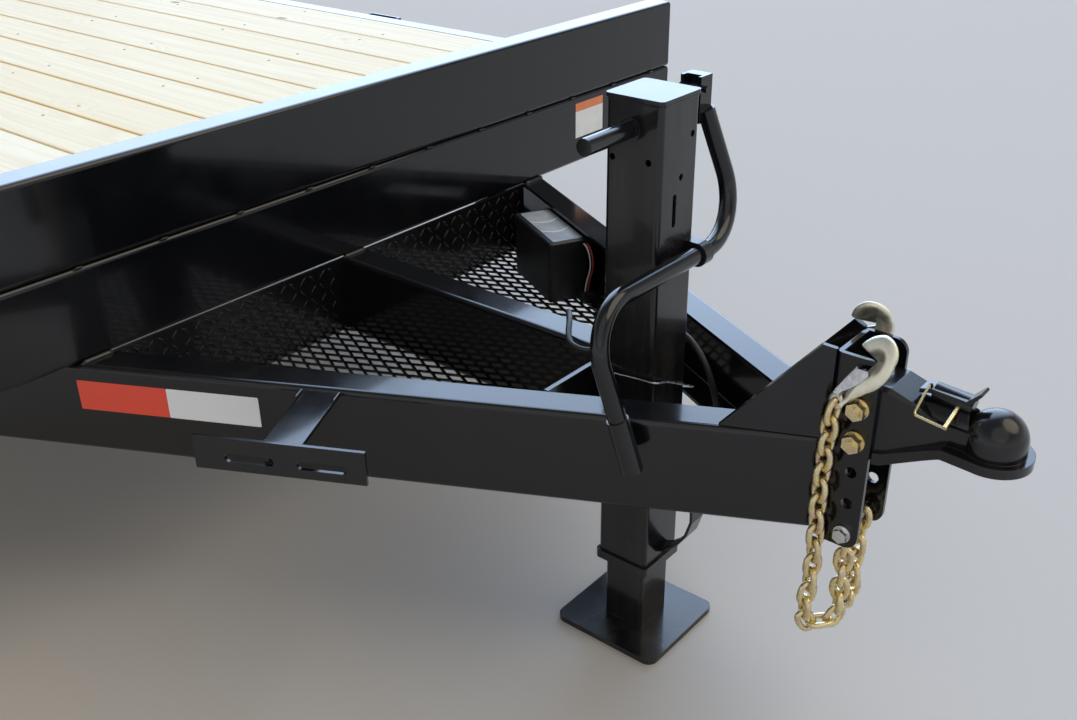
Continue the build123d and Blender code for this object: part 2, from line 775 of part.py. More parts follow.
parts["safety_chain_right"] = safety_chain(
    crown=(tongue_length + 60, -36, frame_bottom + 155),
    u_way=(0.978, -0.208, 0),
    v_way=(0.077, 0.363, 0.928),
    up_leg=(tongue_length + 6, -62),
    rise=[(tongue_length + 7, -62, frame_bottom - 100), (tongue_length + 9, -63, frame_bottom)],
)
parts["safety_chain_left"] = safety_chain(
    crown=(tongue_length + 4, 43, frame_bottom + 163),
    u_way=(0.945, 0.071, 0.317),
    v_way=(-0.262, -0.412, 0.872),
    up_leg=(tongue_length + 5, 66),
    rise=[(tongue_length + 4, 68, frame_bottom - 100), (tongue_length + 2, 71, frame_bottom)],
)

# Spare-wheel bracket on the right tongue rail, placed along it and out from its web
spare_start, spare_end = 271.0, 525.0
spare_out = 157.0
spare_thick = 6.0
spare_top = frame_bottom - 1.0
spare_low = frame_bottom - 54.0
slot_places = (353.0, 460.5)
slot_length = 74.0
slot_height = 14.0
arm_start, arm_end = 374.0, 431.0
arm_thick = 6.0
arm_top = frame_bottom - 4.0
rail_seat = Pos(0, tongue_half_root, 0) * Rot(0, 0, -tongue_angle)
spare = block((spare_start, spare_out - spare_thick, spare_low), (spare_end, spare_out, spare_top))
slot_z = (spare_low + spare_top) / 2 - 5
for place_along in slot_places:
    hole = extrude(Plane.XZ * SlotOverall(slot_length, slot_height), 2 * spare_thick, both=True)
    spare -= Pos(place_along, spare_out, slot_z) * hole
arm = block((arm_start, 0, arm_top - arm_thick), (arm_end, spare_out - spare_thick, arm_top))
arm += block((arm_start, 0, spare_low), (arm_start + arm_thick, spare_out - spare_thick, arm_top))
parts["spare_bracket"] = mirrored(rail_seat * (spare + arm))

# Battery box beside the left rail, with its lid
box_middle, box_inward = 244.0, 86.0
box_length, box_width = 186.0, 84.0
box_round = 8.0
box_high = frame_bottom - 16.0
lid_depth = 18.0
lid_overhang = 2.0
lid_ease = 3.0
box_low = floor_z + tray_floor
box_body = extrude(RectangleRounded(box_length, box_width, box_round), box_high - box_low - 1)
lid = extrude(
    RectangleRounded(box_length + 2 * lid_overhang, box_width + 2 * lid_overhang, box_round), lid_depth
)
lid = chamfer(lid.edges().group_by(Axis.Z)[-1], lid_ease)
battery_box = box_body + Pos(0, 0, box_high - box_low - lid_depth) * lid
parts["battery_box"] = rail_seat * Pos(box_middle, -box_inward, box_low) * battery_box

# Stake pockets on the side rails
pocket_length, pocket_deep, pocket_wall = 122.0, 16.0, 5.0
pocket_places = (-1004.0, -2020.0, -4700.0)
pocket_low = frame_bottom + 40
pocket = block(
    (-pocket_length / 2, half_width, pocket_low), (pocket_length / 2, half_width + pocket_deep, deck_top)
)
pocket -= block(
    (pocket_wall - pocket_length / 2, half_width - 1, frame_bottom),
    (pocket_length / 2 - pocket_wall, half_width + pocket_deep - pocket_wall, deck_top + 1),
)
pockets = [Pos(x, 0, 0) * pocket for x in pocket_places]
parts["stake_pockets"] = pockets + [mirrored(p) for p in pockets]


# Running gear
fender_run = axle_spacing / 2 + tyre_radius + 75
fender_flat = fender_run - 260
fender_low = tyre_radius + 112
fender_lip = 45.0


def fender():
    """Folded tandem fender: flat top, slanted ends, inner wall and a down-turned outer lip."""
    slant = degrees(atan2(fender_top - fender_low, fender_run - fender_flat))
    shift = fender_thick * tan(radians(slant / 2))
    foot_shift = fender_thick / sin(radians(slant))
    under = fender_top - fender_thick
    flat_inside = fender_flat - shift

    def inside_x(z):
        """Half-length inside the slanted ends at a height."""
        return fender_run - (z - fender_low) / tan(radians(slant)) - foot_shift

    def end_wall(z, y_low, y_high):
        outline = [(-inside_x(z), z), (-flat_inside, under), (flat_inside, under), (inside_x(z), z)]
        return side_plate(outline, y_low, y_high)

    outer = [
        (-fender_run, fender_low),
        (-fender_flat, fender_top),
        (fender_flat, fender_top),
        (fender_run, fender_low),
    ]
    inner = [
        (fender_run - foot_shift, fender_low),
        (flat_inside, under),
        (-flat_inside, under),
        (foot_shift - fender_run, fender_low),
    ]
    top = side_plate(outer + inner, half_width, fender_outer_y)
    wall = end_wall(frame_bottom + 60, half_width, half_width + fender_thick)
    lip = end_wall(fender_top - fender_lip, fender_outer_y - fender_thick, fender_outer_y)
    return Pos(axle_mid_x, 0, 0) * (top + wall + lip)


parts["fender_left"] = fender()
parts["fender_right"] = mirrored(parts["fender_left"])

wheel_mid_y = tyre_inner_y + tyre_width / 2
backing_y = tyre_inner_y + 12
drum_y = backing_y + backing_thick + 3
drum_end = drum_y + drum_depth
hub_end = wheel_mid_y + 35
wheel_axis = Axis((0, 0, tyre_radius), (0, 1, 0))


def turned(points):
    """Ring from an outline of (distance along Y, radius) about a wheel's axis at X=0."""
    face = Plane.YZ * Polygon(*[(y, tyre_radius + r) for y, r in points], align=None)
    return revolve(face, wheel_axis, 360)


def tyre():
    """Closed ring with flat tread, rounded shoulders and bulging side walls."""
    half = tyre_width / 2
    seat = rim_radius + rim_seat_clear
    middle = (rim_flange + tyre_radius) / 2
    right = [
        (tyre_bead / 2, seat),
        (tyre_bead / 2, rim_flange + 4),
        (half - 6, middle - 42),
        (half, middle),
        (half - 6, tyre_radius - 38),
        (half - 22, tyre_radius - 6),
        (half / 2, tyre_radius),
    ]
    left = [(-y, r) for y, r in reversed(right)]
    return Pos(0, wheel_mid_y, 0) * turned(right + left)


stud_count = 8
stud_circle = 83.0
stud_radius = 7.0
stud_clear = 0.3
window_circle = 168.0
window_radius = 20.0


def around(count, circle, start=0.0):
    """Places (X, Z) evenly round a wheel's axis."""
    angles = [2 * pi * (i + start) / count for i in range(count)]
    return [(circle * cos(angle), tyre_radius + circle * sin(angle)) for angle in angles]


def rim():
    """Steel wheel: barrel with two flanges, dished disc, round windows and stud holes."""
    flange = tyre_bead / 2 + 1
    edge = flange + rim_wall
    inside = rim_radius - rim_wall
    centre = hub_radius + rim_seat_clear
    barrel = [
        (-edge, inside),
        (-edge, rim_flange),
        (-flange, rim_flange),
        (-flange, rim_radius),
        (flange, rim_radius),
        (flange, rim_flange),
        (edge, rim_flange),
        (edge, inside),
    ]
    disc = [
        (20, centre),
        (20, 110),
        (34, 140),
        (34, 165),
        (10, inside + 0.5),
        (2, inside + 0.5),
        (26, 160),
        (26, 143),
        (12, 113),
        (12, centre),
    ]
    wheel = turned(barrel) + turned(disc)
    for x, z in around(stud_count, window_circle):
        wheel -= rod((x, -10, z), (x, 50, z), window_radius)
    for x, z in around(stud_count, stud_circle, 0.5):
        wheel -= rod((x, 0, z), (x, 60, z), stud_radius + stud_clear)
    return Pos(0, wheel_mid_y, 0) * wheel


def hub():
    """Brake drum and hub, turned, with its dust cap, studs and wheel nuts."""
    wheel_face = wheel_mid_y + 12
    outline = [
        (drum_y, spindle_radius + spindle_clear),
        (drum_y, drum_radius),
        (drum_end, drum_radius),
        (drum_end, 100),
        (wheel_face, 95),
        (wheel_face, hub_radius),
        (hub_end, hub_radius - 4),
        (hub_end, spindle_radius + spindle_clear),
    ]
    cap = [(hub_end, 0), (hub_end, 40), (hub_end + 30, 36), (hub_end + 34, 30), (hub_end + 34, 0)]
    solid = turned(outline) + turned(cap)
    seat = wheel_mid_y + 20
    for x, z in around(stud_count, stud_circle, 0.5):
        solid += hex_prism((x, seat, z), (x, seat + 18, z), 22)
        solid += rod((x, wheel_face - 10, z), (x, seat, z), stud_radius)
    return solid


wheel_tyre, wheel_rim, wheel_hub = tyre(), rim(), hub()
axle_places = {"front": axle_mid_x + axle_spacing / 2, "rear": axle_mid_x - axle_spacing / 2}
for end, x in axle_places.items():
    parts[f"tyre_{end}_left"] = Pos(x, 0, 0) * wheel_tyre
    parts[f"wheel_{end}_left"] = Pos(x, 0, 0) * wheel_rim
    parts[f"hub_{end}_left"] = Pos(x, 0, 0) * wheel_hub
    for kind in ("tyre", "wheel", "hub"):
        parts[f"{kind}_{end}_right"] = mirrored(parts[f"{kind}_{end}_left"])

spindle_end = hub_end - 6
pack_low = tyre_radius + axle_radius + 5
pack_top = pack_low + len(leaf_shares) * leaf_thick


def ubolt_set():
    """Two square U-bolts over a spring, down to the plate under the axle."""
    leg_y = spring_width / 2 + ubolt_radius + 1
    top = pack_top + ubolt_radius + 1
    low = tyre_radius - axle_radius - 10
    plate_half_x, plate_half_y = 62, leg_y + ubolt_radius + 4
    solid = block((-plate_half_x, -plate_half_y, low), (plate_half_x, plate_half_y, low + 11))
    for x in (-50, 50):
        corners = [(x, -leg_y, low - 12), (x, -leg_y, top), (x, leg_y, top), (x, leg_y, low - 12)]
        path = Polyline(*corners)
        section = Plane(origin=corners[0], z_dir=(0, 0, 1)) * Circle(ubolt_radius)
        solid += sweep(section, path=path, transition=Transition.RIGHT)
    return solid


beam = rod((0, -backing_y, tyre_radius), (0, backing_y, tyre_radius), axle_radius)
for side in (-1, 1):
    spindle_start = (0, side * backing_y, tyre_radius)
    beam += rod(spindle_start, (0, side * spindle_end, tyre_radius), spindle_radius)
    plate_end = side * (backing_y + backing_thick)
    beam += rod(spindle_start, (0, plate_end, tyre_radius), drum_radius - 8)
    low = (-28, side * spring_y - spring_width / 2, tyre_radius + 20)
    beam += block(low, (28, side * spring_y + spring_width / 2, pack_low))
    beam += Pos(0, side * spring_y, 0) * ubolt_set()
for end, x in axle_places.items():
    parts[f"axle_{end}"] = Pos(x, 0, 0) * beam

equalizer_half = 90.0
half_span = axle_spacing / 2 - equalizer_half


def leaf(share, level):
    """One leaf: a shallow arc in X and Z, ends bent up towards the eyes."""
    half = half_span * share
    low = pack_low + level * leaf_thick
    radius = (half_span**2 + spring_sag**2) / (2 * spring_sag)
    centre_z = low + radius
    rise = centre_z - sqrt(radius**2 - half**2)
    rise_top = centre_z - sqrt((radius - leaf_thick) ** 2 - half**2)
    edge = Curve() + [
        ThreePointArc((-half, rise), (0, low), (half, rise)),
        Line((half, rise), (half, rise_top)),
        ThreePointArc((half, rise_top), (0, low + leaf_thick), (-half, rise_top)),
        Line((-half, rise_top), (-half, rise)),
    ]
    face = Plane.XZ * make_face(edge)
    return Pos(0, spring_width / 2, 0) * extrude(face, spring_width)


spring_pack = leaf(leaf_shares[0], 0)
for level, share in enumerate(leaf_shares[1:], start=1):
    spring_pack += leaf(share, level)
for way in (-1, 1):
    eye_start = (way * half_span, -spring_width / 2, eye_z)
    spring_pack += rod(eye_start, (way * half_span, spring_width / 2, eye_z), eye_radius)
springs = [Pos(x, spring_y, 0) * spring_pack for x in axle_places.values()]
parts["springs"] = springs + [mirrored(s) for s in springs]

hanger_gap = spring_width / 2 + 0.4
hanger_wall = 5.0
hanger_width = 70.0
hanger_outer = hanger_gap + hanger_wall


def hanger(width):
    """Folded hanger under the side rail, open below and at both ends."""
    solid = block(
        (-width / 2, -hanger_outer, frame_bottom - hanger_drop), (width / 2, hanger_outer, frame_bottom)
    )
    return solid - block((-width, -hanger_gap, 0), (width, hanger_gap, frame_bottom - hanger_wall))


end_eye = axle_spacing / 2 + half_span
hangers = [Pos(axle_mid_x + x, spring_y, 0) * hanger(hanger_width) for x in (end_eye, -end_eye)]
hangers.append(Pos(axle_mid_x, spring_y, 0) * hanger(2 * equalizer_half + 60))
parts["spring_hangers"] = hangers + [mirrored(h) for h in hangers]

# Ramps, stood up behind the tail and leaning forward a little
hinge_x = tail_x - hinge_back
hinge_z = tail_top - hinge_drop
half_ramp = ramp_width / 2
ramp_bar = channel(ramp_length - ramp_foot_gap, ramp_depth, ramp_flange, ramp_wall, ramp_wall + 2)
ramp_side = Pos(-ramp_depth / 2, half_ramp, ramp_foot_gap) * Rot(0, -90, 0)
ramp_side = ramp_side * Pos(0, 0, -ramp_depth) * ramp_bar
ramp = ramp_side + mirrored(ramp_side)
rung_count = 7
rung_width = 45.0
rung_thick = 6.0
rung_margin = 60.0
rung_half = half_ramp - ramp_wall
first_rung = ramp_foot_gap + rung_margin
rung_pitch = (ramp_length - ramp_foot_gap - 2 * rung_margin) / (rung_count - 1)
for i in range(rung_count):
    z = first_rung + i * rung_pitch
    ramp += block(
        (-ramp_depth / 2, -rung_half, z - rung_width / 2),
        (rung_thick - ramp_depth / 2, rung_half, z + rung_width / 2),
    )
    ramp += block((-ramp_depth / 2, -rung_half, z - rung_thick / 2), (0, rung_half, z + rung_thick / 2))
lug_thick = 10.0
lug_y = half_ramp - lug_thick - ramp_wall
lug_side = [
    (-22, -16),
    (22, -16),
    (22, 0),
    (30, ramp_foot_gap + 40),
    (-30, ramp_foot_gap + 40),
    (-22, 0),
]
for side in (-1, 1):
    low_y, high_y = sorted((side * lug_y, side * (lug_y + lug_thick)))
    ramp += side_plate(lug_side, low_y, high_y)
ramp += rod((0, -half_ramp, 0), (0, half_ramp, 0), hinge_pin_radius)
ramp_place = Pos(hinge_x, ramp_centre_y, hinge_z) * Rot(0, ramp_lean, 0)
parts["ramp_left"] = ramp_place * ramp
parts["ramp_right"] = mirrored(parts["ramp_left"])

frame_lug_y = lug_y - 16
frame_lug_side = [
    (tail_x, hinge_z + 24),
    (hinge_x, hinge_z + 24),
    (hinge_x - 22, hinge_z),
    (hinge_x, hinge_z - 24),
    (tail_x, hinge_z - 40),
]
frame_lugs = []
for y in (ramp_centre_y - frame_lug_y - lug_thick, ramp_centre_y + frame_lug_y):
    lug = side_plate(frame_lug_side, y, y + lug_thick)
    pin_start, pin_end = (hinge_x, y - 5, hinge_z), (hinge_x, y + lug_thick + 5, hinge_z)
    frame_lugs.append(lug - rod(pin_start, pin_end, hinge_pin_radius + hinge_clear))
parts["ramp_hinge_lugs"] = frame_lugs + [mirrored(lug) for lug in frame_lugs]

# Lamps
lamp_y, lamp_z = 915.0, tail_low + rail_depth / 2
lamp = extrude(Plane.YZ * SlotOverall(165, 57), -14)
tail_lamp = Pos(tail_x, lamp_y, lamp_z) * lamp
parts["tail_lamps"] = both_sides(tail_lamp)
marker = extrude(Plane.XZ * SlotOverall(62, 26), -12)
marker_place = Pos(-130, half_width, frame_bottom + rail_depth / 2)
parts["side_markers"] = both_sides(marker_place * marker)

# Cords: each route's points, from the fixed end, with the largest arc that each corner allows
def cord_tube(route, radius):
    """Straight runs joined by tangent arcs, swept as a round tube."""
    points = [Vector(*point) for point in route]
    bends = []
    for before, corner, after in zip(points, points[1:], points[2:]):
        turned_by = radians((corner - before).get_angle(after - corner))
        shorter = min((corner - before).length, (after - corner).length)
        bends.append(0.45 * shorter / tan(turned_by / 2))
    path = FilletPolyline(*route, radius=bends)
    tube = sweep(Plane(origin=path @ 0, z_dir=path % 0) * Circle(radius), path=path)
    print("cord length", round(path.length), "bends", [round(bend) for bend in bends])
    print("tube volume against its section", round(tube.volume / (pi * radius**2 * path.length), 4))
    return tube


cord_radius = 5.0
gland_radius = 9.0
gland_depth = 8.0
plug_radius = 16.0
plug_length = 48.0
plug_z = tongue_low + rail_wall + plug_radius
cord_route = [
    (gland_depth, 88, frame_bottom - 70),
    (46, 88, frame_bottom - 70),
    (96, 82, frame_bottom - 86),
    (150, 71, frame_bottom - 112),
    (207, 64, frame_bottom - 126),
    (266, 60, frame_bottom - 132),
    (326, 58, frame_bottom - 133),
    (382, 60, frame_bottom - 126),
    (428, 60, frame_bottom - 106),
    (460, 57, frame_bottom - 72),
    (478, 54, frame_bottom - 32),
    (490, 44, frame_bottom + 4),
    (506, 20, frame_bottom + 23),
    (530, -6, frame_bottom + 26),
    (550, -36, frame_bottom + 19),
    (567.6, -56, frame_bottom + 12),
    (592.4, -56, frame_bottom + 8),
    (611.3, -40, frame_bottom + 7),
    (615.7, -15.7, frame_bottom + 8),
    (617, 14, frame_bottom + 11),
    (617.5, 40, frame_bottom + 14),
    (630, 62, frame_bottom + 18),
    (660, 72, frame_bottom + 23),
    (696, 70, frame_bottom + 23),
    (728, 64, frame_bottom + 8),
    (752, 60, frame_bottom - 20),
    (766, 60, frame_bottom - 55),
    (773, 63, frame_bottom - 90),
    (786, 74, frame_bottom - 118),
    (808, 80, plug_z),
    (840, 80, plug_z),
]
parts["trailer_cord"] = cord_tube(cord_route, cord_radius)
plug_start = cord_route[-1]
plug_end = (plug_start[0] + plug_length, plug_start[1], plug_start[2])
parts["trailer_plug"] = rod(plug_start, plug_end, plug_radius)
gland_start = (0, cord_route[0][1], cord_route[0][2])
parts["tray_back_plate"] += rod(gland_start, cord_route[0], gland_radius)


def solids_of(shape):
    """The solids of a part as a list, also where it is only one."""
    return shape if isinstance(shape, list) else [shape]


whole = Compound([solid for shape in parts.values() for solid in solids_of(shape)])
to_middle = Pos(-whole.bounding_box().center().X, 0, 0)
os.makedirs("parts", exist_ok=True)
for name, shape in parts.items():
    placed = [to_middle * solid for solid in solids_of(shape)]
    export_step(Compound(placed) if len(placed) > 1 else placed[0], f"parts/{name}.step")
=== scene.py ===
import math
import random

import bmesh
import bpy
from mathutils import Matrix, Vector
from mathutils.geometry import convex_hull_2d

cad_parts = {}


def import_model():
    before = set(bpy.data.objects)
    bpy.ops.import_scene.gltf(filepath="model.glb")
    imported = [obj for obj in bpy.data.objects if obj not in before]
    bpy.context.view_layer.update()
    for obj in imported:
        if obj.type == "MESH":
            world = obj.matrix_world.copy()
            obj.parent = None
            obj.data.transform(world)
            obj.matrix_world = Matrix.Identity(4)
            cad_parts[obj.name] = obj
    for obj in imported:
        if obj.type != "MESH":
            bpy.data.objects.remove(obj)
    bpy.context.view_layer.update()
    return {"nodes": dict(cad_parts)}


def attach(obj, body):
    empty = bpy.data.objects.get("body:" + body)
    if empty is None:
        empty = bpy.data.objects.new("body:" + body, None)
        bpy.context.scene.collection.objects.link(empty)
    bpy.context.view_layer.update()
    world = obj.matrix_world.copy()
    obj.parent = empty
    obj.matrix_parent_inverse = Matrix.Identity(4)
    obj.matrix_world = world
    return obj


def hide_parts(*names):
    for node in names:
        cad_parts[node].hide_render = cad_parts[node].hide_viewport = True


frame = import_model()
nodes = frame["nodes"]
random.seed(7)

# Camera, in metres, degrees and millimetres of lens and sensor
camera_place = (4.041, -1.342, 1.350)
camera_yaw = 129.78
camera_pitch = 27.69
camera_roll = -0.65
camera_lens = 38.88
camera_sensor = 36.0

# Panel in the sky opposite the camera: its middle, its reach at full light and at its rim, in degrees
panel_heading = 129.8
panel_height = 28.0
panel_full = 26.0
panel_rim = 42.0
panel_light = (2.4, 3.1, 4.2)

# The deck's front face and the floor's width, in metres
deck_front = 2.465934
floor_width = 400

# Places and sizes below are in millimetres: X forward from the deck's front face, Y left, Z up
under_deck = 510.0
deck_top = 662.4
half_width = 1057.0
tail_x = -6096.0
board_count = 13
board_pitch = 154.0
cross_count = 13
cross_pitch = 406.4
tongue_angle = math.radians(27.58)
tongue_half_root = 571.0
tongue_length = 1007.0
centre_right, centre_left = -21.0, 35.0
tray_floor = 367.0
tray_split = -15.0
upward = Vector((0, 0, 1))


def at(x, y, z):
    """Point in the CAD's frame, in metres."""
    return Vector((x / 1000 + deck_front, y / 1000, z / 1000))


def on_rail(side, along, inward, z):
    """Point by its distance along a tongue rail from the deck's front, and inward from the rail's web."""
    x = along * math.cos(tongue_angle) - inward * math.sin(tongue_angle)
    y = tongue_half_root - along * math.sin(tongue_angle) - inward * math.cos(tongue_angle)
    return at(x, side * y, z)


# Shader building
class Graph:
    """The nodes of a material or of the world."""

    def __init__(self, tree):
        self.tree = tree

    def connect(self, socket, value):
        """Links an output to a socket, or gives it a plain value."""
        if isinstance(value, bpy.types.NodeSocket):
            self.tree.links.new(value, socket)
        elif isinstance(value, tuple) and len(value) == 3 and socket.type == "RGBA":
            socket.default_value = (*value, 1)
        else:
            socket.default_value = value

    def add(self, kind, links=(), **settings):
        """New node, its settings made and its inputs fed with values or outputs."""
        made = self.tree.nodes.new(kind)
        for key, value in settings.items():
            setattr(made, key, value)
        for name, value in dict(links).items():
            self.connect(made.inputs[name], value)
        return made

    def ramp(self, value, *stops):
        """Colours or greys by value: stops of (place, colour or grey)."""
        made = self.add("ShaderNodeValToRGB", {"Fac": value})
        elements = made.color_ramp.elements
        while len(elements) < len(stops):
            elements.new(0.5)
        for element, (place, color) in zip(elements, stops):
            element.position = place
            level = color if isinstance(color, tuple) else (color, color, color)
            element.color = (*level, 1)
        return made.outputs["Color"]

    def math(self, operation, *values, clamp=False):
        made = self.add("ShaderNodeMath", operation=operation, use_clamp=clamp)
        for socket, value in zip(made.inputs, values):
            self.connect(socket, value)
        return made.outputs["Value"]

    def mix(self, share, one, other):
        """Colour between one and other."""
        return self.add("ShaderNodeMix", {0: share, 6: one, 7: other}, data_type="RGBA").outputs[2]


surfaces = {}


class Surface(Graph):
    """A procedural material, kept by name: a Principled shader and the nodes that feed it."""

    def __init__(self, name, color, roughness, metallic=0.0, coat=0.0):
        surfaces[name] = bpy.data.materials.new(name)
        surfaces[name].use_nodes = True
        super().__init__(surfaces[name].node_tree)
        self.shader = self.tree.nodes["Principled BSDF"]
        self.set("Base Color", (*color, 1))
        self.set("Roughness", roughness)
        self.set("Metallic", metallic)
        self.set("Coat Weight", coat)
        self.place = self.add("ShaderNodeTexCoord").outputs["Object"]
        self.normal = None

    def set(self, name, value):
        self.shader.inputs[name].default_value = value

    def feed(self, name, value):
        self.tree.links.new(value, self.shader.inputs[name])

    def stretched(self, stretch):
        """The surface's own coordinates, scaled along each axis."""
        return self.add("ShaderNodeMapping", {"Vector": self.place, "Scale": stretch}).outputs["Vector"]

    def noise(self, scale, detail=3.0, rough=0.5, stretch=(1, 1, 1), warp=0.0):
        links = {
            "Vector": self.stretched(stretch),
            "Scale": scale,
            "Detail": detail,
            "Roughness": rough,
            "Distortion": warp,
        }
        return self.add("ShaderNodeTexNoise", links).outputs["Fac"]

    def soft_edges(self, radius):
        """Catches light along edges as if they were rounded."""
        self.normal = self.add("ShaderNodeBevel", {"Radius": radius}, samples=4).outputs["Normal"]
        self.feed("Normal", self.normal)

    def bump(self, height, strength, distance):
        """Adds a layer of relief, over the layers before it."""
        links = {"Height": height, "Strength": strength, "Distance": distance}
        if self.normal is not None:
            links["Normal"] = self.normal
        self.normal = self.add("ShaderNodeBump", links).outputs["Normal"]
        self.feed("Normal", self.normal)


def paint(name, dark, pale, rough, edge=0.0015, peel=0.05):
    """Black coat whose tone and gloss wander, with orange peel and faint dust streaks that run down."""
    coat = Surface(name, dark, rough, coat=0.35)
    coat.set("Coat Roughness", 0.06)
    coat.set("Specular IOR Level", 0.4)
    dust = coat.noise(2.2, detail=5.0, rough=0.6, warp=0.5)
    streaks = coat.noise(26.0, rough=0.6, stretch=(1, 1, 0.12))
    film = coat.math("MULTIPLY", dust, streaks)
    coat.feed("Base Color", coat.ramp(film, (0.22, dark), (0.55, pale)))
    wander = coat.noise(7.0, detail=4.0, rough=0.6)
    coat.feed("Roughness", coat.ramp(wander, (0.3, rough - 0.05), (0.75, rough + 0.12)))
    coat.soft_edges(edge)
    coat.bump(coat.noise(380.0, detail=2.0), strength=peel, distance=0.0005)


def plated(name, color, dull, rough, tint=None):
    """Plated steel whose tone and gloss wander, with an iridescent tint in places."""
    metal = Surface(name, color, rough, metallic=1.0)
    tone = metal.ramp(metal.noise(70.0, detail=4.0, rough=0.6), (0.35, color), (0.7, dull))
    if tint is not None:
        film = metal.ramp(metal.noise(38.0, detail=2.0, warp=1.2), (0.52, 0.0), (0.66, 0.65))
        tone = metal.mix(film, tone, tint)
    metal.feed("Base Color", tone)
    metal.feed("Roughness", metal.ramp(metal.noise(150.0), (0.3, rough - 0.08), (0.7, rough + 0.12)))
    metal.bump(metal.noise(600.0, detail=2.0), strength=0.1, distance=0.0004)


def pine():
    """Pale softwood, its grain along X: each plank has its own tone and rings, with knots and dark edges."""
    wood = Surface("pine_boards", (0.80, 0.69, 0.50), 0.6)
    from_middle = wood.add("ShaderNodeSeparateXYZ", {"Vector": wood.place}).outputs["Y"]
    from_edge = wood.math("ADD", from_middle, board_count * board_pitch / 2000)
    planks = wood.math("DIVIDE", from_edge, board_pitch / 1000)
    number = wood.math("FLOOR", planks)
    seed = wood.add("ShaderNodeTexWhiteNoise", {"W": number}, noise_dimensions="1D").outputs["Value"]
    slide = wood.math("MULTIPLY", seed, 37.0)
    lift = wood.math("MULTIPLY", seed, 11.0)
    shift = wood.add("ShaderNodeCombineXYZ", {"X": slide, "Y": lift, "Z": lift}).outputs[0]
    shifted = wood.add("ShaderNodeVectorMath", {0: wood.place, 1: shift}, operation="ADD")
    wood.place = shifted.outputs["Vector"]

    knots = wood.add("ShaderNodeTexVoronoi", {"Vector": wood.stretched((1.0, 2.2, 0.01)), "Scale": 2.6})
    knot_distance = knots.outputs["Distance"]
    swirl = wood.ramp(knot_distance, (0.0, 1.0), (0.25, 0.0))
    rings = wood.noise(1.5, detail=2.0, stretch=(0.30, 8.0, 8.0), warp=0.5)
    rings = wood.math("ADD", rings, wood.math("MULTIPLY", swirl, 0.35))
    rings = wood.math("FRACT", wood.math("MULTIPLY", rings, 10.0))
    bands = wood.ramp(rings, (0.1, 0.0), (0.75, 1.0), (0.95, 0.1))
    fibre = wood.noise(1.0, detail=4.0, stretch=(2.5, 150.0, 150.0))

    tone = wood.mix(seed, (0.93, 0.84, 0.60), (0.87, 0.73, 0.44))
    tone = wood.mix(wood.math("MULTIPLY", bands, 0.42), tone, (0.74, 0.54, 0.28))
    tone = wood.mix(wood.math("MULTIPLY", fibre, 0.35), tone, (0.92, 0.86, 0.72))
    edge = wood.math("ABSOLUTE", wood.math("SUBTRACT", wood.math("FRACT", planks), 0.5))
    stain = wood.math("MULTIPLY", wood.ramp(edge, (0.40, 0.0), (0.485, 1.0)), seed)
    tone = wood.mix(wood.math("MULTIPLY", stain, 0.85), tone, (0.80, 0.55, 0.20))
    knot = wood.ramp(knot_distance, (0.0, 0.95), (0.042, 0.8), (0.07, 0.0))
    tone = wood.mix(knot, tone, (0.30, 0.16, 0.06))
    wood.feed("Base Color", tone)
    wood.bump(fibre, strength=0.3, distance=0.0006)
    wood.bump(bands, strength=0.15, distance=0.0005)


def rubber(name, color, dusty, rough):
    """Rubber or moulded plastic with a little road dust."""
    skin = Surface(name, color, rough)
    skin.feed("Base Color", skin.ramp(skin.noise(24.0, detail=4.0), (0.35, color), (0.8, dusty)))
    skin.bump(skin.noise(420.0), strength=0.15, distance=0.0006)


def lens(name, color):
    """Moulded lamp lens with fine upright ribs."""
    clear = Surface(name, color, 0.15, coat=0.6)
    ribs = clear.add("ShaderNodeTexWave", {"Vector": clear.place, "Scale": 90.0}, bands_direction="Y")
    clear.bump(ribs.outputs["Fac"], strength=0.4, distance=0.001)


def reflective(name, color):
    """Marking tape: sealed cells under a clear face."""
    tape = Surface(name, color, 0.22, coat=0.8)
    links = {"Vector": tape.place, "Scale": 260.0}
    cells = tape.add("ShaderNodeTexVoronoi", links, feature="DISTANCE_TO_EDGE").outputs["Distance"]
    walls = tape.ramp(cells, (0.0, 0.72), (0.06, 1.0))
    tape.feed("Base Color", tape.mix(walls, tuple(0.86 * level for level in color), color))
    tape.bump(cells, strength=0.2, distance=0.0003)


def printed(name, color, shade, rough=0.35):
    """Vinyl label, plain, its tone a little uneven."""
    label = Surface(name, color, rough, coat=0.3)
    label.feed("Base Color", label.ramp(label.noise(34.0), (0.35, color), (0.75, shade)))
    label.bump(label.noise(90.0, detail=2.0), strength=0.08, distance=0.0004)


paint("black_paint", (0.004, 0.0045, 0.006), (0.010, 0.010, 0.011), 0.13)
paint("black_jack_paint", (0.008, 0.008, 0.009), (0.045, 0.043, 0.040), 0.20, peel=0.1)
paint("black_tread_plate", (0.005, 0.005, 0.006), (0.012, 0.012, 0.012), 0.2)
paint("black_mesh", (0.006, 0.006, 0.007), (0.015, 0.015, 0.014), 0.25, edge=0.0005)
paint("cast_black", (0.005, 0.005, 0.006), (0.014, 0.014, 0.014), 0.17, edge=0.002, peel=0.25)
paint("spring_steel", (0.012, 0.012, 0.012), (0.05, 0.046, 0.04), 0.45)
plated("yellow_zinc", (0.90, 0.77, 0.46), (0.70, 0.57, 0.29), 0.27, tint=(0.74, 0.55, 0.48))
plated("pale_zinc", (0.97, 0.94, 0.80), (0.90, 0.85, 0.64), 0.36)
plated("bright_zinc", (0.80, 0.81, 0.83), (0.62, 0.63, 0.66), 0.26)
plated("screw_gold", (0.62, 0.50, 0.30), (0.44, 0.35, 0.20), 0.5)
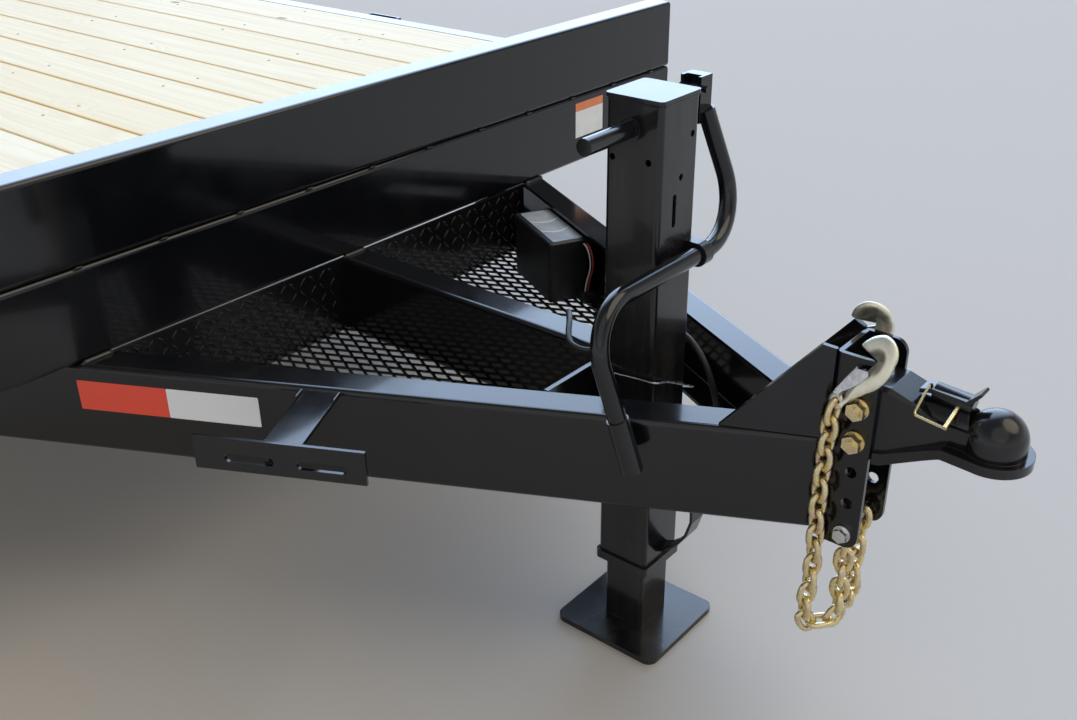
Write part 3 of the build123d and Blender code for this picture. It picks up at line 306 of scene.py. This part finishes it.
plated("wheel_paint", (0.62, 0.63, 0.65), (0.5, 0.5, 0.53), 0.38)
plated("hub_steel", (0.10, 0.10, 0.11), (0.06, 0.06, 0.07), 0.5)
pine()
rubber("tyre_rubber", (0.016, 0.016, 0.016), (0.034, 0.032, 0.030), 0.75)
rubber("cord_rubber", (0.010, 0.010, 0.011), (0.022, 0.022, 0.022), 0.45)
rubber("box_plastic", (0.008, 0.008, 0.009), (0.018, 0.018, 0.018), 0.42)
lens("red_lens", (0.55, 0.01, 0.01))
lens("amber_lens", (0.75, 0.22, 0.01))
reflective("tape_red", (0.90, 0.062, 0.022))
reflective("tape_white", (0.90, 0.91, 0.92))
printed("label_white", (0.82, 0.83, 0.83), (0.72, 0.75, 0.76))
printed("label_orange", (0.80, 0.24, 0.07), (0.70, 0.20, 0.07))
printed("label_silver", (0.36, 0.41, 0.49), (0.52, 0.56, 0.60), rough=0.28)
rubber("wire_red", (0.55, 0.05, 0.04), (0.48, 0.08, 0.07), 0.4)
rubber("wire_white", (0.78, 0.76, 0.74), (0.66, 0.64, 0.62), 0.4)

node_surfaces = {
    "tray_back_plate": "black_tread_plate",
    "tray_mesh": "black_mesh",
    "coupler": "cast_black",
    "coupler_latch": "cast_black",
    "jack_tube": "black_jack_paint",
    "jack_leg": "black_jack_paint",
    "springs": "spring_steel",
    "axle_front": "spring_steel",
    "axle_rear": "spring_steel",
    "safety_chain_left": "yellow_zinc",
    "safety_chain_right": "yellow_zinc",
    "coupler_bolts": "yellow_zinc",
    "chain_bolt": "bright_zinc",
    "battery_box": "box_plastic",
    "trailer_cord": "cord_rubber",
    "trailer_plug": "cord_rubber",
    "deck_boards": "pine_boards",
    "dovetail_boards": "pine_boards",
    "tail_lamps": "red_lens",
    "side_markers": "amber_lens",
}
kind_surfaces = {"tyre": "tyre_rubber", "wheel": "wheel_paint", "hub": "hub_steel"}

for name, node in nodes.items():
    surface = node_surfaces.get(name, kind_surfaces.get(name.split("_")[0], "black_paint"))
    node.data.materials.clear()
    node.data.materials.append(surfaces[surface])


# Mesh building
def piece(name, points, faces, surface, body="root", smooth=False):
    """New mesh piece on a CAD body."""
    mesh = bpy.data.meshes.new(name)
    mesh.from_pydata([tuple(point) for point in points], [], faces)
    mesh.polygons.foreach_set("use_smooth", [smooth] * len(mesh.polygons))
    mesh.materials.append(surfaces[surface])
    made = bpy.data.objects.new(name, mesh)
    bpy.context.scene.collection.objects.link(made)
    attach(made, body)
    return made


def soften(made, width):
    """Rounds a piece's sharp edges."""
    bevel = made.modifiers.new("edges", "BEVEL")
    bevel.width = width
    bevel.segments = 2
    bevel.limit_method = "ANGLE"
    bevel.angle_limit = math.radians(35)


class Heap:
    """Many small shapes gathered into one mesh."""

    def __init__(self):
        self.points = []
        self.faces = []

    def add(self, points, faces):
        start = len(self.points)
        self.points += points
        self.faces += [[start + i for i in face] for face in faces]

    def skin(self, rings):
        """Skin over rings of points, closed at both ends."""
        count = len(rings[0])
        faces = [list(range(count))[::-1], [i + (len(rings) - 1) * count for i in range(count)]]
        for k in range(len(rings) - 1):
            for i in range(count):
                j = (i + 1) % count
                faces.append([k * count + i, k * count + j, (k + 1) * count + j, (k + 1) * count + i])
        self.add([point for ring in rings for point in ring], faces)


def tube(heap, path, radii, sides=10):
    """Tube along a list of points, with a radius at each."""
    angles = [2 * math.pi * i / sides for i in range(sides)]
    rings = []
    for k, (point, radius) in enumerate(zip(path, radii)):
        way = (path[min(k + 1, len(path) - 1)] - path[max(k - 1, 0)]).normalized()
        if k == 0:
            one = way.orthogonal()
        one = (one - way * one.dot(way)).normalized()
        two = way.cross(one)
        rings.append([point + radius * (math.cos(a) * one + math.sin(a) * two) for a in angles])
    heap.skin(rings)


def weld_bead(heap, start, end, radius, step=2.4):
    """Bead with a ripple for each pass of the arc, its ends tapered."""
    taper_stops, least_taper, trough = 3, 0.25, 0.84
    count = max(4, round((end - start).length * 1000 / step) * 2)
    path, radii = [], []
    for k in range(count + 1):
        taper = math.sin(math.pi * min(k, count - k, taper_stops) / (2 * taper_stops))
        ripple = trough if k % 2 else 1.0
        path.append(start.lerp(end, k / count))
        radii.append(radius / 1000 * max(least_taper, taper) * ripple)
    tube(heap, path, radii, sides=8)


def decal(name, corner, right, up, size, surface, radius=2.0):
    """Thin film with round corners, from its lower left corner, directions and (width, height)."""
    thick, edge_inset, corner_steps = 0.35, 0.25, 4
    width, height = size[0] / 1000, size[1] / 1000
    right, up = right.normalized(), up.normalized()
    out = right.cross(up)
    round_by = radius / 1000
    outline = []
    for x, y, turn in ((width, 0, -90), (width, height, 0), (0, height, 90), (0, 0, 180)):
        inner_x = x - math.copysign(round_by, x - width / 2)
        inner_y = y - math.copysign(round_by, y - height / 2)
        for step in range(corner_steps + 1):
            angle = math.radians(turn + 90 / corner_steps * step)
            across, along = round_by * math.cos(angle), round_by * math.sin(angle)
            outline.append(Vector((inner_x + across, inner_y + along)))
    middle = Vector((width / 2, height / 2))
    rings = []
    for level, inset in ((0.0, 0.0), (thick * 0.8, 0.0), (thick, edge_inset)):
        spots = [spot + (middle - spot).normalized() * inset / 1000 for spot in outline]
        rings.append([corner + right * spot.x + up * spot.y + out * level / 1000 for spot in spots])
    film = Heap()
    film.skin(rings)
    piece(name, film.points, film.faces, surface)


def leftward_normals(line):
    """Unit normal to the left of a flat line, at each of its points."""
    normals = []
    for k in range(len(line)):
        before, after = line[max(k - 1, 0)], line[min(k + 1, len(line) - 1)]
        way = Vector((after[0] - before[0], after[1] - before[1])).normalized()
        normals.append(Vector((-way.y, way.x)))
    return normals


def smooth_cord(name, route, radius, surface):
    """Round cord on a smooth line through its route of control points."""
    curve = bpy.data.curves.new(name, "CURVE")
    curve.dimensions = "3D"
    curve.bevel_depth = radius / 1000
    curve.bevel_resolution = 4
    curve.resolution_u = 8
    curve.use_fill_caps = True
    spline = curve.splines.new("NURBS")
    spline.points.add(len(route) - 1)
    for point, place in zip(spline.points, route):
        point.co = (*place, 1)
    spline.order_u = 3
    spline.use_endpoint_u = True
    curve.materials.append(surfaces[surface])
    made = bpy.data.objects.new(name, curve)
    bpy.context.scene.collection.objects.link(made)
    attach(made, "root")
    return made


# Cords, as control points
cord_route = (
    (8, 88, 440), (46, 88, 440), (96, 82, 424), (150, 71, 398), (207, 64, 384), (266, 60, 378),
    (326, 58, 377), (382, 60, 384), (428, 60, 404), (460, 57, 438), (478, 54, 478), (490, 44, 514),
    (506, 20, 533), (530, -6, 536), (550, -36, 529), (567.6, -56, 522), (592.4, -56, 518),
    (611.3, -40, 517), (615.7, -15.7, 518), (617, 14, 521), (617.5, 40, 524), (630, 62, 528),
    (660, 72, 533), (696, 70, 533), (728, 64, 518), (752, 60, 490), (766, 60, 455), (773, 63, 420),
    (786, 74, 392), (808, 80, 379.95), (840, 80, 379.95),
)
thin_cable_route = (
    (624.5, -60, 499), (642, -60, 500), (668, -55, 499), (701, -53.5, 502), (734, -61, 508),
    (728.5, -26, 495), (726.5, 4, 480), (728.5, 30, 466), (734, 62, 450), (701, 54, 442),
    (668, 56, 438), (642, 60, 440), (624.5, 60, 441),
)
# Distance along the left tongue rail, inward from its web, and up from the battery box's lid
wire_route = (
    (337.5, 50, 0), (349, 50, 1), (362, 49, -12), (366, 47, -36), (358, 47, -58), (352, 50, -78),
    (351, 52, -98),
)


def trailer_cord():
    route = [at(*point) for point in cord_route]
    cord = smooth_cord("cord_jacket", route, radius=5.0, surface="cord_rubber")
    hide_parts("trailer_cord")


def battery_wires():
    """Red and white wires from the box's lid down to a connector on the tray."""
    connector = Heap()
    middle_along, middle_inward = 351, 55
    corners = ((-1, -1), (-1, 1), (1, 1), (1, -1))
    rings = []
    for level, half_along, half_inward in ((0, 13, 15), (15, 13, 15), (19, 9.5, 11)):
        z = tray_floor + level
        rings.append([
            on_rail(1, middle_along + a * half_along, middle_inward + b * half_inward, z) for a, b in corners
        ])
    connector.skin(rings)
    plug = piece("wire_connector", connector.points, connector.faces, "box_plastic")
    soften(plug, 0.0012)

    lid_z = 483.0
    for name, offset in (("wire_red", 0.0), ("wire_white", 6.0)):
        route = [on_rail(1, along, inward + offset, lid_z + up) for along, inward, up in wire_route]
        wire = smooth_cord(name, route, radius=1.6, surface=name)


def thin_cable():
    """Thin cable from the jack's carrier plate, slack round the tube and back to the plate."""
    route = [at(*point) for point in thin_cable_route]
    cable = smooth_cord("thin_cable", route, radius=1.2, surface="bright_zinc")


# Tongue tray: the expanded metal's pitches, and the open share of each
mesh_long, mesh_short = 50.8, 23.4
open_long, open_short = 0.74, 0.80


def expanded_metal():
    """Flattened expanded metal cut to both halves of the tray floor."""
    corners = [Vector(v.co) for v in nodes["tray_mesh"].data.vertices]
    low, high = min(c.z for c in corners), max(c.z for c in corners)
    step_x, step_y = mesh_long / 2000, mesh_short / 2000
    gathered = Heap()
    for side in (-1, 1):
        half = [(c.x, c.y) for c in corners if (c.y - tray_split / 1000) * side > 0]
        hull = [Vector(half[i]) for i in convex_hull_2d(half)]
        x_low, x_high = min(p.x for p in hull), max(p.x for p in hull)
        y_low, y_high = min(p.y for p in hull), max(p.y for p in hull)
        part = bmesh.new()
        for i in range(-1, int((x_high - x_low) / step_x) + 3):
            for j in range(-1, int((y_high - y_low) / step_y) + 3):
                if (i + j) % 2 == 0:
                    middle = Vector((x_low + i * step_x, y_low + j * step_y))
                    diamond_cell(part, middle, step_x, step_y, low, high)
        bmesh.ops.remove_doubles(part, verts=part.verts, dist=1e-5)
        for k, point in enumerate(hull):
            edge = hull[(k + 1) % len(hull)] - point
            outward = Vector((edge.y, -edge.x, 0))
            geometry = part.verts[:] + part.edges[:] + part.faces[:]
            cut = bmesh.ops.bisect_plane(
                part, geom=geometry, plane_co=(*point, low), plane_no=outward, clear_outer=True
            )
            rim = [g for g in cut["geom_cut"] if isinstance(g, bmesh.types.BMEdge)]
            bmesh.ops.holes_fill(part, edges=rim, sides=8)
        part.verts.index_update()
        gathered.add([v.co.copy() for v in part.verts], [[v.index for v in f.verts] for f in part.faces])
        part.free()
    floor_piece = piece("expanded_floor", gathered.points, gathered.faces, "black_mesh")
    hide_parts("tray_mesh")


def diamond_cell(part, middle, step_x, step_y, low, high):
    """One diamond opening with its share of the strands around it."""
    outer = [(step_x, 0), (0, step_y), (-step_x, 0), (0, -step_y)]
    inner = [(x * open_long, y * open_short) for x, y in outer]
    rings = []
    for ring, level in ((outer, high), (outer, low), (inner, high), (inner, low)):
        rings.append([part.verts.new((middle.x + x, middle.y + y, level)) for x, y in ring])
    outer_top, outer_low, inner_top, inner_low = rings
    for k in range(4):
        n = (k + 1) % 4
        part.faces.new((outer_top[k], outer_top[n], inner_top[n], inner_top[k]))
        part.faces.new((outer_low[n], outer_low[k], inner_low[k], inner_low[n]))
        part.faces.new((inner_top[k], inner_top[n], inner_low[n], inner_low[k]))


def tread_plate():
    """Raised lozenges in crossed rows over the tray's back plate."""
    pitch, half_long, half_wide, rise = 23.0, 11.5, 3.6, 1.5
    top_long, top_wide, bow = 0.62, 0.4, 0.62
    plate_low, first_row, plate_half, gap = 364.0, 3, 500.0, 4
    outline = ((1, 0), (bow, bow), (0, 1), (-bow, bow), (-1, 0), (-bow, -bow), (0, -1), (bow, -bow))
    raised = Heap()
    for start, end in ((-plate_half, centre_right - gap), (centre_left + gap, plate_half)):
        for i in range(int((end - start) / pitch)):
            for j in range(int((under_deck - plate_low) / pitch)):
                middle = Vector((start + (i + 0.5) * pitch, plate_low + (j + 0.5) * pitch + first_row))
                turn = math.radians(45 if (i + j) % 2 else -45)
                ahead = Vector((math.cos(turn), math.sin(turn)))
                aside = Vector((-ahead.y, ahead.x))
                foot, top = [], []
                for a, b in outline:
                    spot = middle + ahead * (a * half_long) + aside * (b * half_wide)
                    foot.append(at(0.0, spot.x, spot.y))
                    spot = middle + ahead * (a * half_long * top_long) + aside * (b * half_wide * top_wide)
                    top.append(at(rise, spot.x, spot.y))
                raised.skin([foot, top])
    piece("tread_lozenges", raised.points, raised.faces, "black_tread_plate", smooth=True)


# Marks
def tape(color, place, corner, right, size):
    """One upright length of marking tape."""
    decal(f"tape_{color}_{place}", corner, right, upward, size, f"tape_{color}")


def tapes():
    """Red and white marking tape on the tongue, the sides and the tail."""
    tongue_low, tongue_high = 432.0, 483.5
    for side, label in ((-1, "right"), (1, "left")):
        for color, start, end in (("red", -7.0, 145.0), ("white", 145.0, 297.4)):
            first, last = (start, end) if side < 0 else (end, start)
            corner = on_rail(side, first, 0, tongue_low)
            right = on_rail(side, last, 0, tongue_low) - corner
            tape(color, f"tongue_{label}", corner, right, (end - start, tongue_high - tongue_low))
    width, side_z, side_run, tail_z, tail_run = 50.8, 575.0, 280.0, 475.0, 230.0
    for k, middle in enumerate((-600.0, -2050.0, -5000.0)):
        for side, label in ((-1, "right"), (1, "left")):
            for color, shift in (("red", -side_run), ("white", 0.0)):
                x = middle + shift + (0 if side < 0 else side_run)
                corner = at(x, side * half_width, side_z)
                tape(color, f"side_{label}_{k}", corner, Vector((-side, 0, 0)), (side_run, width))
    for k, y in enumerate((680.0, 120.0, -440.0)):
        for color, shift in (("red", 0.0), ("white", -tail_run)):
            tape(color, f"tail_{k}", at(tail_x, y + shift, tail_z), Vector((0, -1, 0)), (tail_run, width))


def labels():
    """Blank notice on the front channel, and the battery box's lid label with its two curved lines."""
    notice_y, notice_width, leftward = 690, 101, Vector((0, 1, 0))
    for color, low, high in (("white", 568.0, 628.0), ("orange", 628.0, 647.0)):
        corner, size = at(0, notice_y, low), (notice_width, high - low)
        decal(f"notice_{color}", corner, leftward, upward, size, f"label_{color}", radius=1.0)

    lid_top, lid_start, lid_end, lid_outer, lid_inner = 494.0, 158, 330, 118, 54
    corner = on_rail(1, lid_start, lid_outer, lid_top)
    along = on_rail(1, lid_end, lid_outer, lid_top) - corner
    inward = on_rail(1, lid_start, lid_inner, lid_top) - corner
    size = (lid_end - lid_start, lid_outer - lid_inner)
    decal("lid_label", corner, along, inward, size, "label_silver", radius=4.0)

    line_steps, line_bow, line_inset = 16, 14, 1
    line_length = lid_outer - lid_inner - 2 * line_inset
    section = ((-2.6, 0.0), (2.6, 0.0), (2.3, 0.3), (-2.3, 0.3))
    lines = Heap()
    for offset in (52.0, 108.0):
        path = []
        for k in range(line_steps + 1):
            share = k / line_steps
            bow = line_bow * math.sin(math.pi * share)
            from_web = lid_outer - line_inset - line_length * share
            path.append(on_rail(1, lid_start + offset + bow, from_web, lid_top + 0.3))
        side = (path[-1] - path[0]).normalized().cross(upward)
        lines.skin([[point + side * (a / 1000) + upward * (b / 1000) for a, b in section] for point in path])
    piece("lid_lines", lines.points, lines.faces, "label_white")


# Welds, screws and small steel
def welds():
    beads = Heap()
    stitch_count, stitch_first, stitch_pitch, stitch_length = 14, -1000, 152.0, 16
    for k in range(stitch_count):
        y = stitch_first + k * stitch_pitch
        weld_bead(beads, at(0.2, y, deck_top), at(0.2, y + stitch_length, deck_top), 2.2)
    weld_bead(beads, at(2, centre_right, under_deck), at(2, centre_left, under_deck), 6.5, 5.0)
    tube_back, tube_half, bracket_half = 625, 47.5, 44.5
    mirrored = (
        ((3, 508, under_deck), (3, 566, under_deck), 6.5, 5.0),
        ((tongue_length, bracket_half, 364), (tongue_length, bracket_half, 506), 3.0, 2.4),
        ((880, 97, 511), (1003, 42, 511), 2.6, 2.4),
        ((tube_back, tube_half, 372.0), (tube_back, tube_half, 400.0), 3.0, 2.4),
        ((tube_back, tube_half, 440.0), (tube_back, tube_half, 500.0), 3.0, 2.4),
    )
    for side in (-1, 1):
        for start, end, radius, step in mirrored:
            start, end = [at(x, side * y, z) for x, y, z in (start, end)]
            weld_bead(beads, start, end, radius, step)
        weld_bead(beads, on_rail(side, 20, 56, 506), on_rail(side, 60, 56, 506), 2.6)
    for along in (373, 432):
        weld_bead(beads, on_rail(-1, along, -2, 509), on_rail(-1, along, -32, 509), 2.4)
    cap_low, cap_high, cap_half, cap_z = 626.0, 719.0, 47.4, 921.5
    for side in (-1, 1):
        weld_bead(beads, at(cap_low, side * cap_half, cap_z), at(cap_high, side * cap_half, cap_z), 1.8)
    weld_bead(beads, at(720.0, -44, cap_z), at(720.0, 44, cap_z), 1.8)
    piece("weld_beads", beads.points, beads.faces, "black_paint", smooth=True)


def deck_screws():
    """Domed screw heads over each cross member, one to a board."""
    outline = ((4.0, 0.0), (3.7, 0.8), (2.2, 1.3), (1.3, 0.8))
    angles = [2 * math.pi * k / 10 for k in range(10)]
    behind, stagger, wander_x, wander_y = 14, 34, 7, 8
    heads = Heap()
    for i in range(cross_count):
        x = -cross_pitch * (i + 1) - behind
        for j in range(board_count):
            y = (j - (board_count - 1) / 2) * board_pitch + stagger * (-1) ** (i + j)
            slip_x, slip_y = random.uniform(-wander_x, wander_x), random.uniform(-wander_y, wander_y)
            middle = at(x + slip_x, y + slip_y, deck_top)
            heads.skin([
                [middle + Vector((radius * math.cos(a), radius * math.sin(a), level)) / 1000 for a in angles]
                for radius, level in outline
            ])
    piece("deck_screws", heads.points, heads.faces, "screw_gold", smooth=True)


def jack_strap():
    """Bent strap on the jack's front under the tongue."""
    line = (
        (719, 168), (737, 176), (758, 196), (775, 222), (784, 252), (783, 286), (768, 318), (744, 340),
        (719, 350),
    )
    half_wide, thick = 17.0, 5.0
    rings = []
    for (x, z), left in zip(line, leftward_normals(line)):
        inner, outer = Vector((x, z)) + left * thick / 2, Vector((x, z)) - left * thick / 2
        ring = ((inner, -half_wide), (outer, -half_wide), (outer, half_wide), (inner, half_wide))
        rings.append([at(spot.x, y, spot.y) for spot, y in ring])
    strap = Heap()
    strap.skin(rings)
    made = piece("jack_strap", strap.points, strap.faces, "black_jack_paint")
    soften(made, 0.0012)


# Tyres
axle_x = {"front": -3055.5, "rear": -3944.5}
axle_z, wheel_mid = 388.0, 1182.0
tyre_steps, lug_steps = 240, 6
sipe_depth, lug_depth, lug_side_depth, lug_side_radius = 5.0, 7.0, 5.0, 375
# Half of the outline as distance from the mid plane, radius and kind, the kind naming the tread's rows
half_outline = (
    (0.0, 388.0, "rib"), (9.0, 388.0, "rib"), (11.0, 380.5, "groove"), (17.0, 380.5, "groove"),
    (19.0, 388.0, "block"), (40.0, 387.4, "block"), (42.0, 380.0, "groove"), (48.0, 380.0, "groove"),
    (50.0, 387.0, "block"), (70.0, 385.4, "block"), (88.0, 381.8, "shoulder"), (97.0, 372.0, "shoulder"),
    (103.5, 356.0, "wall"), (107.5, 336.0, "wall"), (108.6, 333.0, "wall"), (108.8, 322.0, "wall"),
    (109.8, 318.0, "wall"), (110.0, 303.0, "wall"), (108.0, 280.0, "wall"), (103.5, 258.0, "wall"),
    (97.0, 242.0, "wall"), (96.0, 236.0, "wall"), (90.0, 228.0, "wall"), (83.0, 223.0, "bead"),
    (83.0, 203.3, "bead"),
)


def tread_drop(kind, radius, phase):
    """How deep a sipe or the gap between two lugs cuts at one step round the tyre."""
    if kind == "block" and phase == 0:
        return sipe_depth
    if kind == "shoulder" and phase in (0, 1):
        return lug_depth if radius > lug_side_radius else lug_side_depth
    return 0.0


def tyres():
    """Tyres with ribs, blocks, sipes and shoulder lugs, on the rims of the CAD wheels."""
    outline = [(-y, radius, kind) for y, radius, kind in half_outline[:0:-1]] + list(half_outline)
    count = len(outline)
    for end, x in axle_x.items():
        for side, label in ((-1, "right"), (1, "left")):
            points, faces = [], []
            for step in range(tyre_steps):
                angle = 2 * math.pi * step / tyre_steps
                for y, radius, kind in outline:
                    phase = (step + (lug_steps // 2 if y < 0 else 0)) % lug_steps
                    r = radius - tread_drop(kind, radius, phase)
                    ahead, above = r * math.cos(angle), r * math.sin(angle)
                    points.append(at(x + ahead, side * wheel_mid + y, axle_z + above))
                here, onward = step * count, (step + 1) % tyre_steps * count
                for index in range(count):
                    after = (index + 1) % count
                    faces.append([here + index, onward + index, onward + after, here + after])
            body = f"{end}_{label}_wheel"
            name = f"treaded_tyre_{end}_{label}"
            made = piece(name, points, faces, "tyre_rubber", body, smooth=True)
            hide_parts(f"tyre_{end}_{label}")
            made.data.set_sharp_from_angle(angle=math.radians(32))


# Chains, hooks and latch
def round_chains():
    """Rounds the faceted links, and gives the hooks their paler plate."""
    for label in ("left", "right"):
        node = nodes[f"safety_chain_{label}"]
        node.data.materials.append(surfaces["pale_zinc"])
        hook = highest_island(node.data)
        for face in node.data.polygons:
            if face.index in hook:
                face.material_index = 1
        weld = node.modifiers.new("weld", "WELD")
        weld.merge_threshold = 1e-5
        flat = node.modifiers.new("flat", "DECIMATE")
        flat.decimate_type = "DISSOLVE"
        flat.angle_limit = math.radians(2)
        round_off = node.modifiers.new("round", "SUBSURF")
        round_off.levels = round_off.render_levels = 2
        fuller = node.modifiers.new("fuller", "DISPLACE")
        fuller.mid_level = 0.0
        fuller.strength = 0.0006
        node.data.polygons.foreach_set("use_smooth", [True] * len(node.data.polygons))


def highest_island(mesh):
    """Faces joined to the highest one through shared corners."""
    key = {v.index: tuple(round(c, 5) for c in v.co) for v in mesh.vertices}
    faces_at = {}
    for face in mesh.polygons:
        for index in face.vertices:
            faces_at.setdefault(key[index], []).append(face.index)
    top = max(mesh.polygons, key=lambda face: face.center.z).index
    found, waiting = {top}, [top]
    while waiting:
        for index in mesh.polygons[waiting.pop()].vertices:
            for near in faces_at[key[index]]:
                if near not in found:
                    found.add(near)
                    waiting.append(near)
    return found


# Each hook's crown, and the directions sideways and up in its plane, as in the CAD
hooks = (
    ("right", (1067, -36, 665), (0.978, -0.208, 0), (0.077, 0.363, 0.928)),
    ("left", (1011, 43, 673), (0.945, 0.071, 0.317), (-0.262, -0.412, 0.872)),
)


def hook_latches():
    """Sprung plate that closes each hook's mouth, riveted to the shank."""
    half_wide, thick = 8.4, 1.5
    web = ((-44.0, -80.0), (-41.0, -73.0), (-33.0, -56.0), (-26.0, -42.0), (-22.5, -35.5))
    ear = (
        (-43.5, -80.0), (-25.0, -38.0), (-6.0, -36.0), (-3.0, -41.5),
        (-10.0, -54.0), (-23.0, -67.0), (-33.0, -75.5), (-35.0, -81.0),
    )
    rivet_a, rivet_b = -41.0, -78.5
    rivet_stops = ((-10.5, 0.0016), (-9.6, 0.0024), (9.6, 0.0024), (10.5, 0.0016))
    for label, crown, u_way, v_way in hooks:
        u, v = Vector(u_way).normalized(), Vector(v_way).normalized()
        axes = (Vector(crown), u, v, u.cross(v))
        latch = Heap()
        rings = []
        for (a, b), left in zip(web, leftward_normals(web)):
            out = left * thick / 2
            ring = (
                (a - out.x, b - out.y, -half_wide), (a - out.x, b - out.y, half_wide),
                (a + out.x, b + out.y, half_wide), (a + out.x, b + out.y, -half_wide),
            )
            rings.append([from_crown(axes, *spot) for spot in ring])
        latch.skin(rings)
        for inner in (-half_wide, half_wide - thick):
            latch.skin([[from_crown(axes, a, b, c) for a, b in ear] for c in (inner, inner + thick)])
        rivet = [from_crown(axes, rivet_a, rivet_b, c) for c, radius in rivet_stops]
        tube(latch, rivet, [radius for c, radius in rivet_stops])
        made = piece(f"hook_latch_{label}", latch.points, latch.faces, "bright_zinc")
        soften(made, 0.0004)


def from_crown(axes, a, b, c):
    """Point by its distances from a hook's crown, along the hook's own three directions."""
    crown, u, v, w = axes
    return at(*(crown + u * a + v * b + w * c))


def gild_latch_pin():
    """The coupler latch's snap pin is plated, where it stands clear of the lever."""
    mesh = nodes["coupler_latch"].data
    mesh.materials.append(surfaces["yellow_zinc"])
    lever_half = 0.0132
    for face in mesh.polygons:
        if face.center.y < -lever_half:
            face.material_index = 1


trailer_cord()
battery_wires()
thin_cable()
expanded_metal()
tread_plate()
tapes()
labels()
welds()
deck_screws()
jack_strap()
tyres()
round_chains()
hook_latches()
gild_latch_pin()


# Stage, light and camera
def floor():
    bpy.ops.mesh.primitive_plane_add(size=floor_width, location=(0, 0, 0))
    plane = bpy.context.object
    plane.name = "floor"
    Surface("floor_pale", (0.56, 0.53, 0.50), 0.9)
    plane.data.materials.append(surfaces["floor_pale"])


def world():
    """Studio sky, pale at the horizon, with a broad cool panel that lights and reflects but isn't seen."""
    studio = bpy.data.worlds.new("studio")
    bpy.context.scene.world = studio
    studio.use_nodes = True
    graph = Graph(studio.node_tree)
    place = graph.add("ShaderNodeTexCoord").outputs["Generated"]
    sky = graph.ramp(
        graph.add("ShaderNodeSeparateXYZ", {0: place}).outputs["Z"],
        (0.0, (0.78, 0.78, 0.78)),
        (0.25, (0.52, 0.54, 0.57)),
        (0.55, (0.20, 0.22, 0.25)),
        (1.0, (0.17, 0.19, 0.22)),
    )
    heading, height = math.radians(panel_heading), math.radians(panel_height)
    flat = math.cos(height)
    middle = (flat * math.cos(heading), flat * math.sin(heading), math.sin(height))
    towards = graph.add("ShaderNodeVectorMath", {0: place, 1: middle}, operation="DOT_PRODUCT")
    rim, full = math.cos(math.radians(panel_rim)), math.cos(math.radians(panel_full))
    panel = graph.ramp(towards.outputs["Value"], (rim, 0.0), (full, 1.0))
    seen = graph.add("ShaderNodeLightPath").outputs["Is Camera Ray"]
    unseen = graph.math("SUBTRACT", panel, seen, clamp=True)
    background = graph.tree.nodes["Background"]
    graph.connect(background.inputs["Color"], graph.mix(unseen, sky, panel_light))
    background.inputs["Strength"].default_value = 1.0


def soft_light(name, heading, height, spread, strength, color):
    """Even light from a wide disc of sky, its heading, height and spread in degrees."""
    data = bpy.data.lights.new(name, "SUN")
    data.energy = strength
    data.angle = math.radians(spread)
    data.color = color
    lamp = bpy.data.objects.new(name, data)
    bpy.context.scene.collection.objects.link(lamp)
    lamp.rotation_euler = (0, math.radians(90 - height), math.radians(heading))


def camera():
    data = bpy.data.cameras.new("camera")
    data.sensor_width = camera_sensor
    data.lens = camera_lens
    made = bpy.data.objects.new("camera", data)
    bpy.context.scene.collection.objects.link(made)
    turn = Matrix.Rotation(math.radians(camera_yaw - 90), 4, "Z")
    tilt = Matrix.Rotation(math.radians(90 - camera_pitch), 4, "X")
    roll = Matrix.Rotation(math.radians(camera_roll), 4, "Z")
    made.matrix_world = Matrix.Translation(camera_place) @ turn @ tilt @ roll
    bpy.context.scene.camera = made


floor()
world()
soft_light("key", heading=30, height=55, spread=50, strength=1.1, color=(1.0, 0.88, 0.68))
soft_light("fill", heading=-60, height=45, spread=60, strength=0.35, color=(1.0, 0.93, 0.82))
camera()
bpy.context.scene.view_settings.view_transform = "Standard"
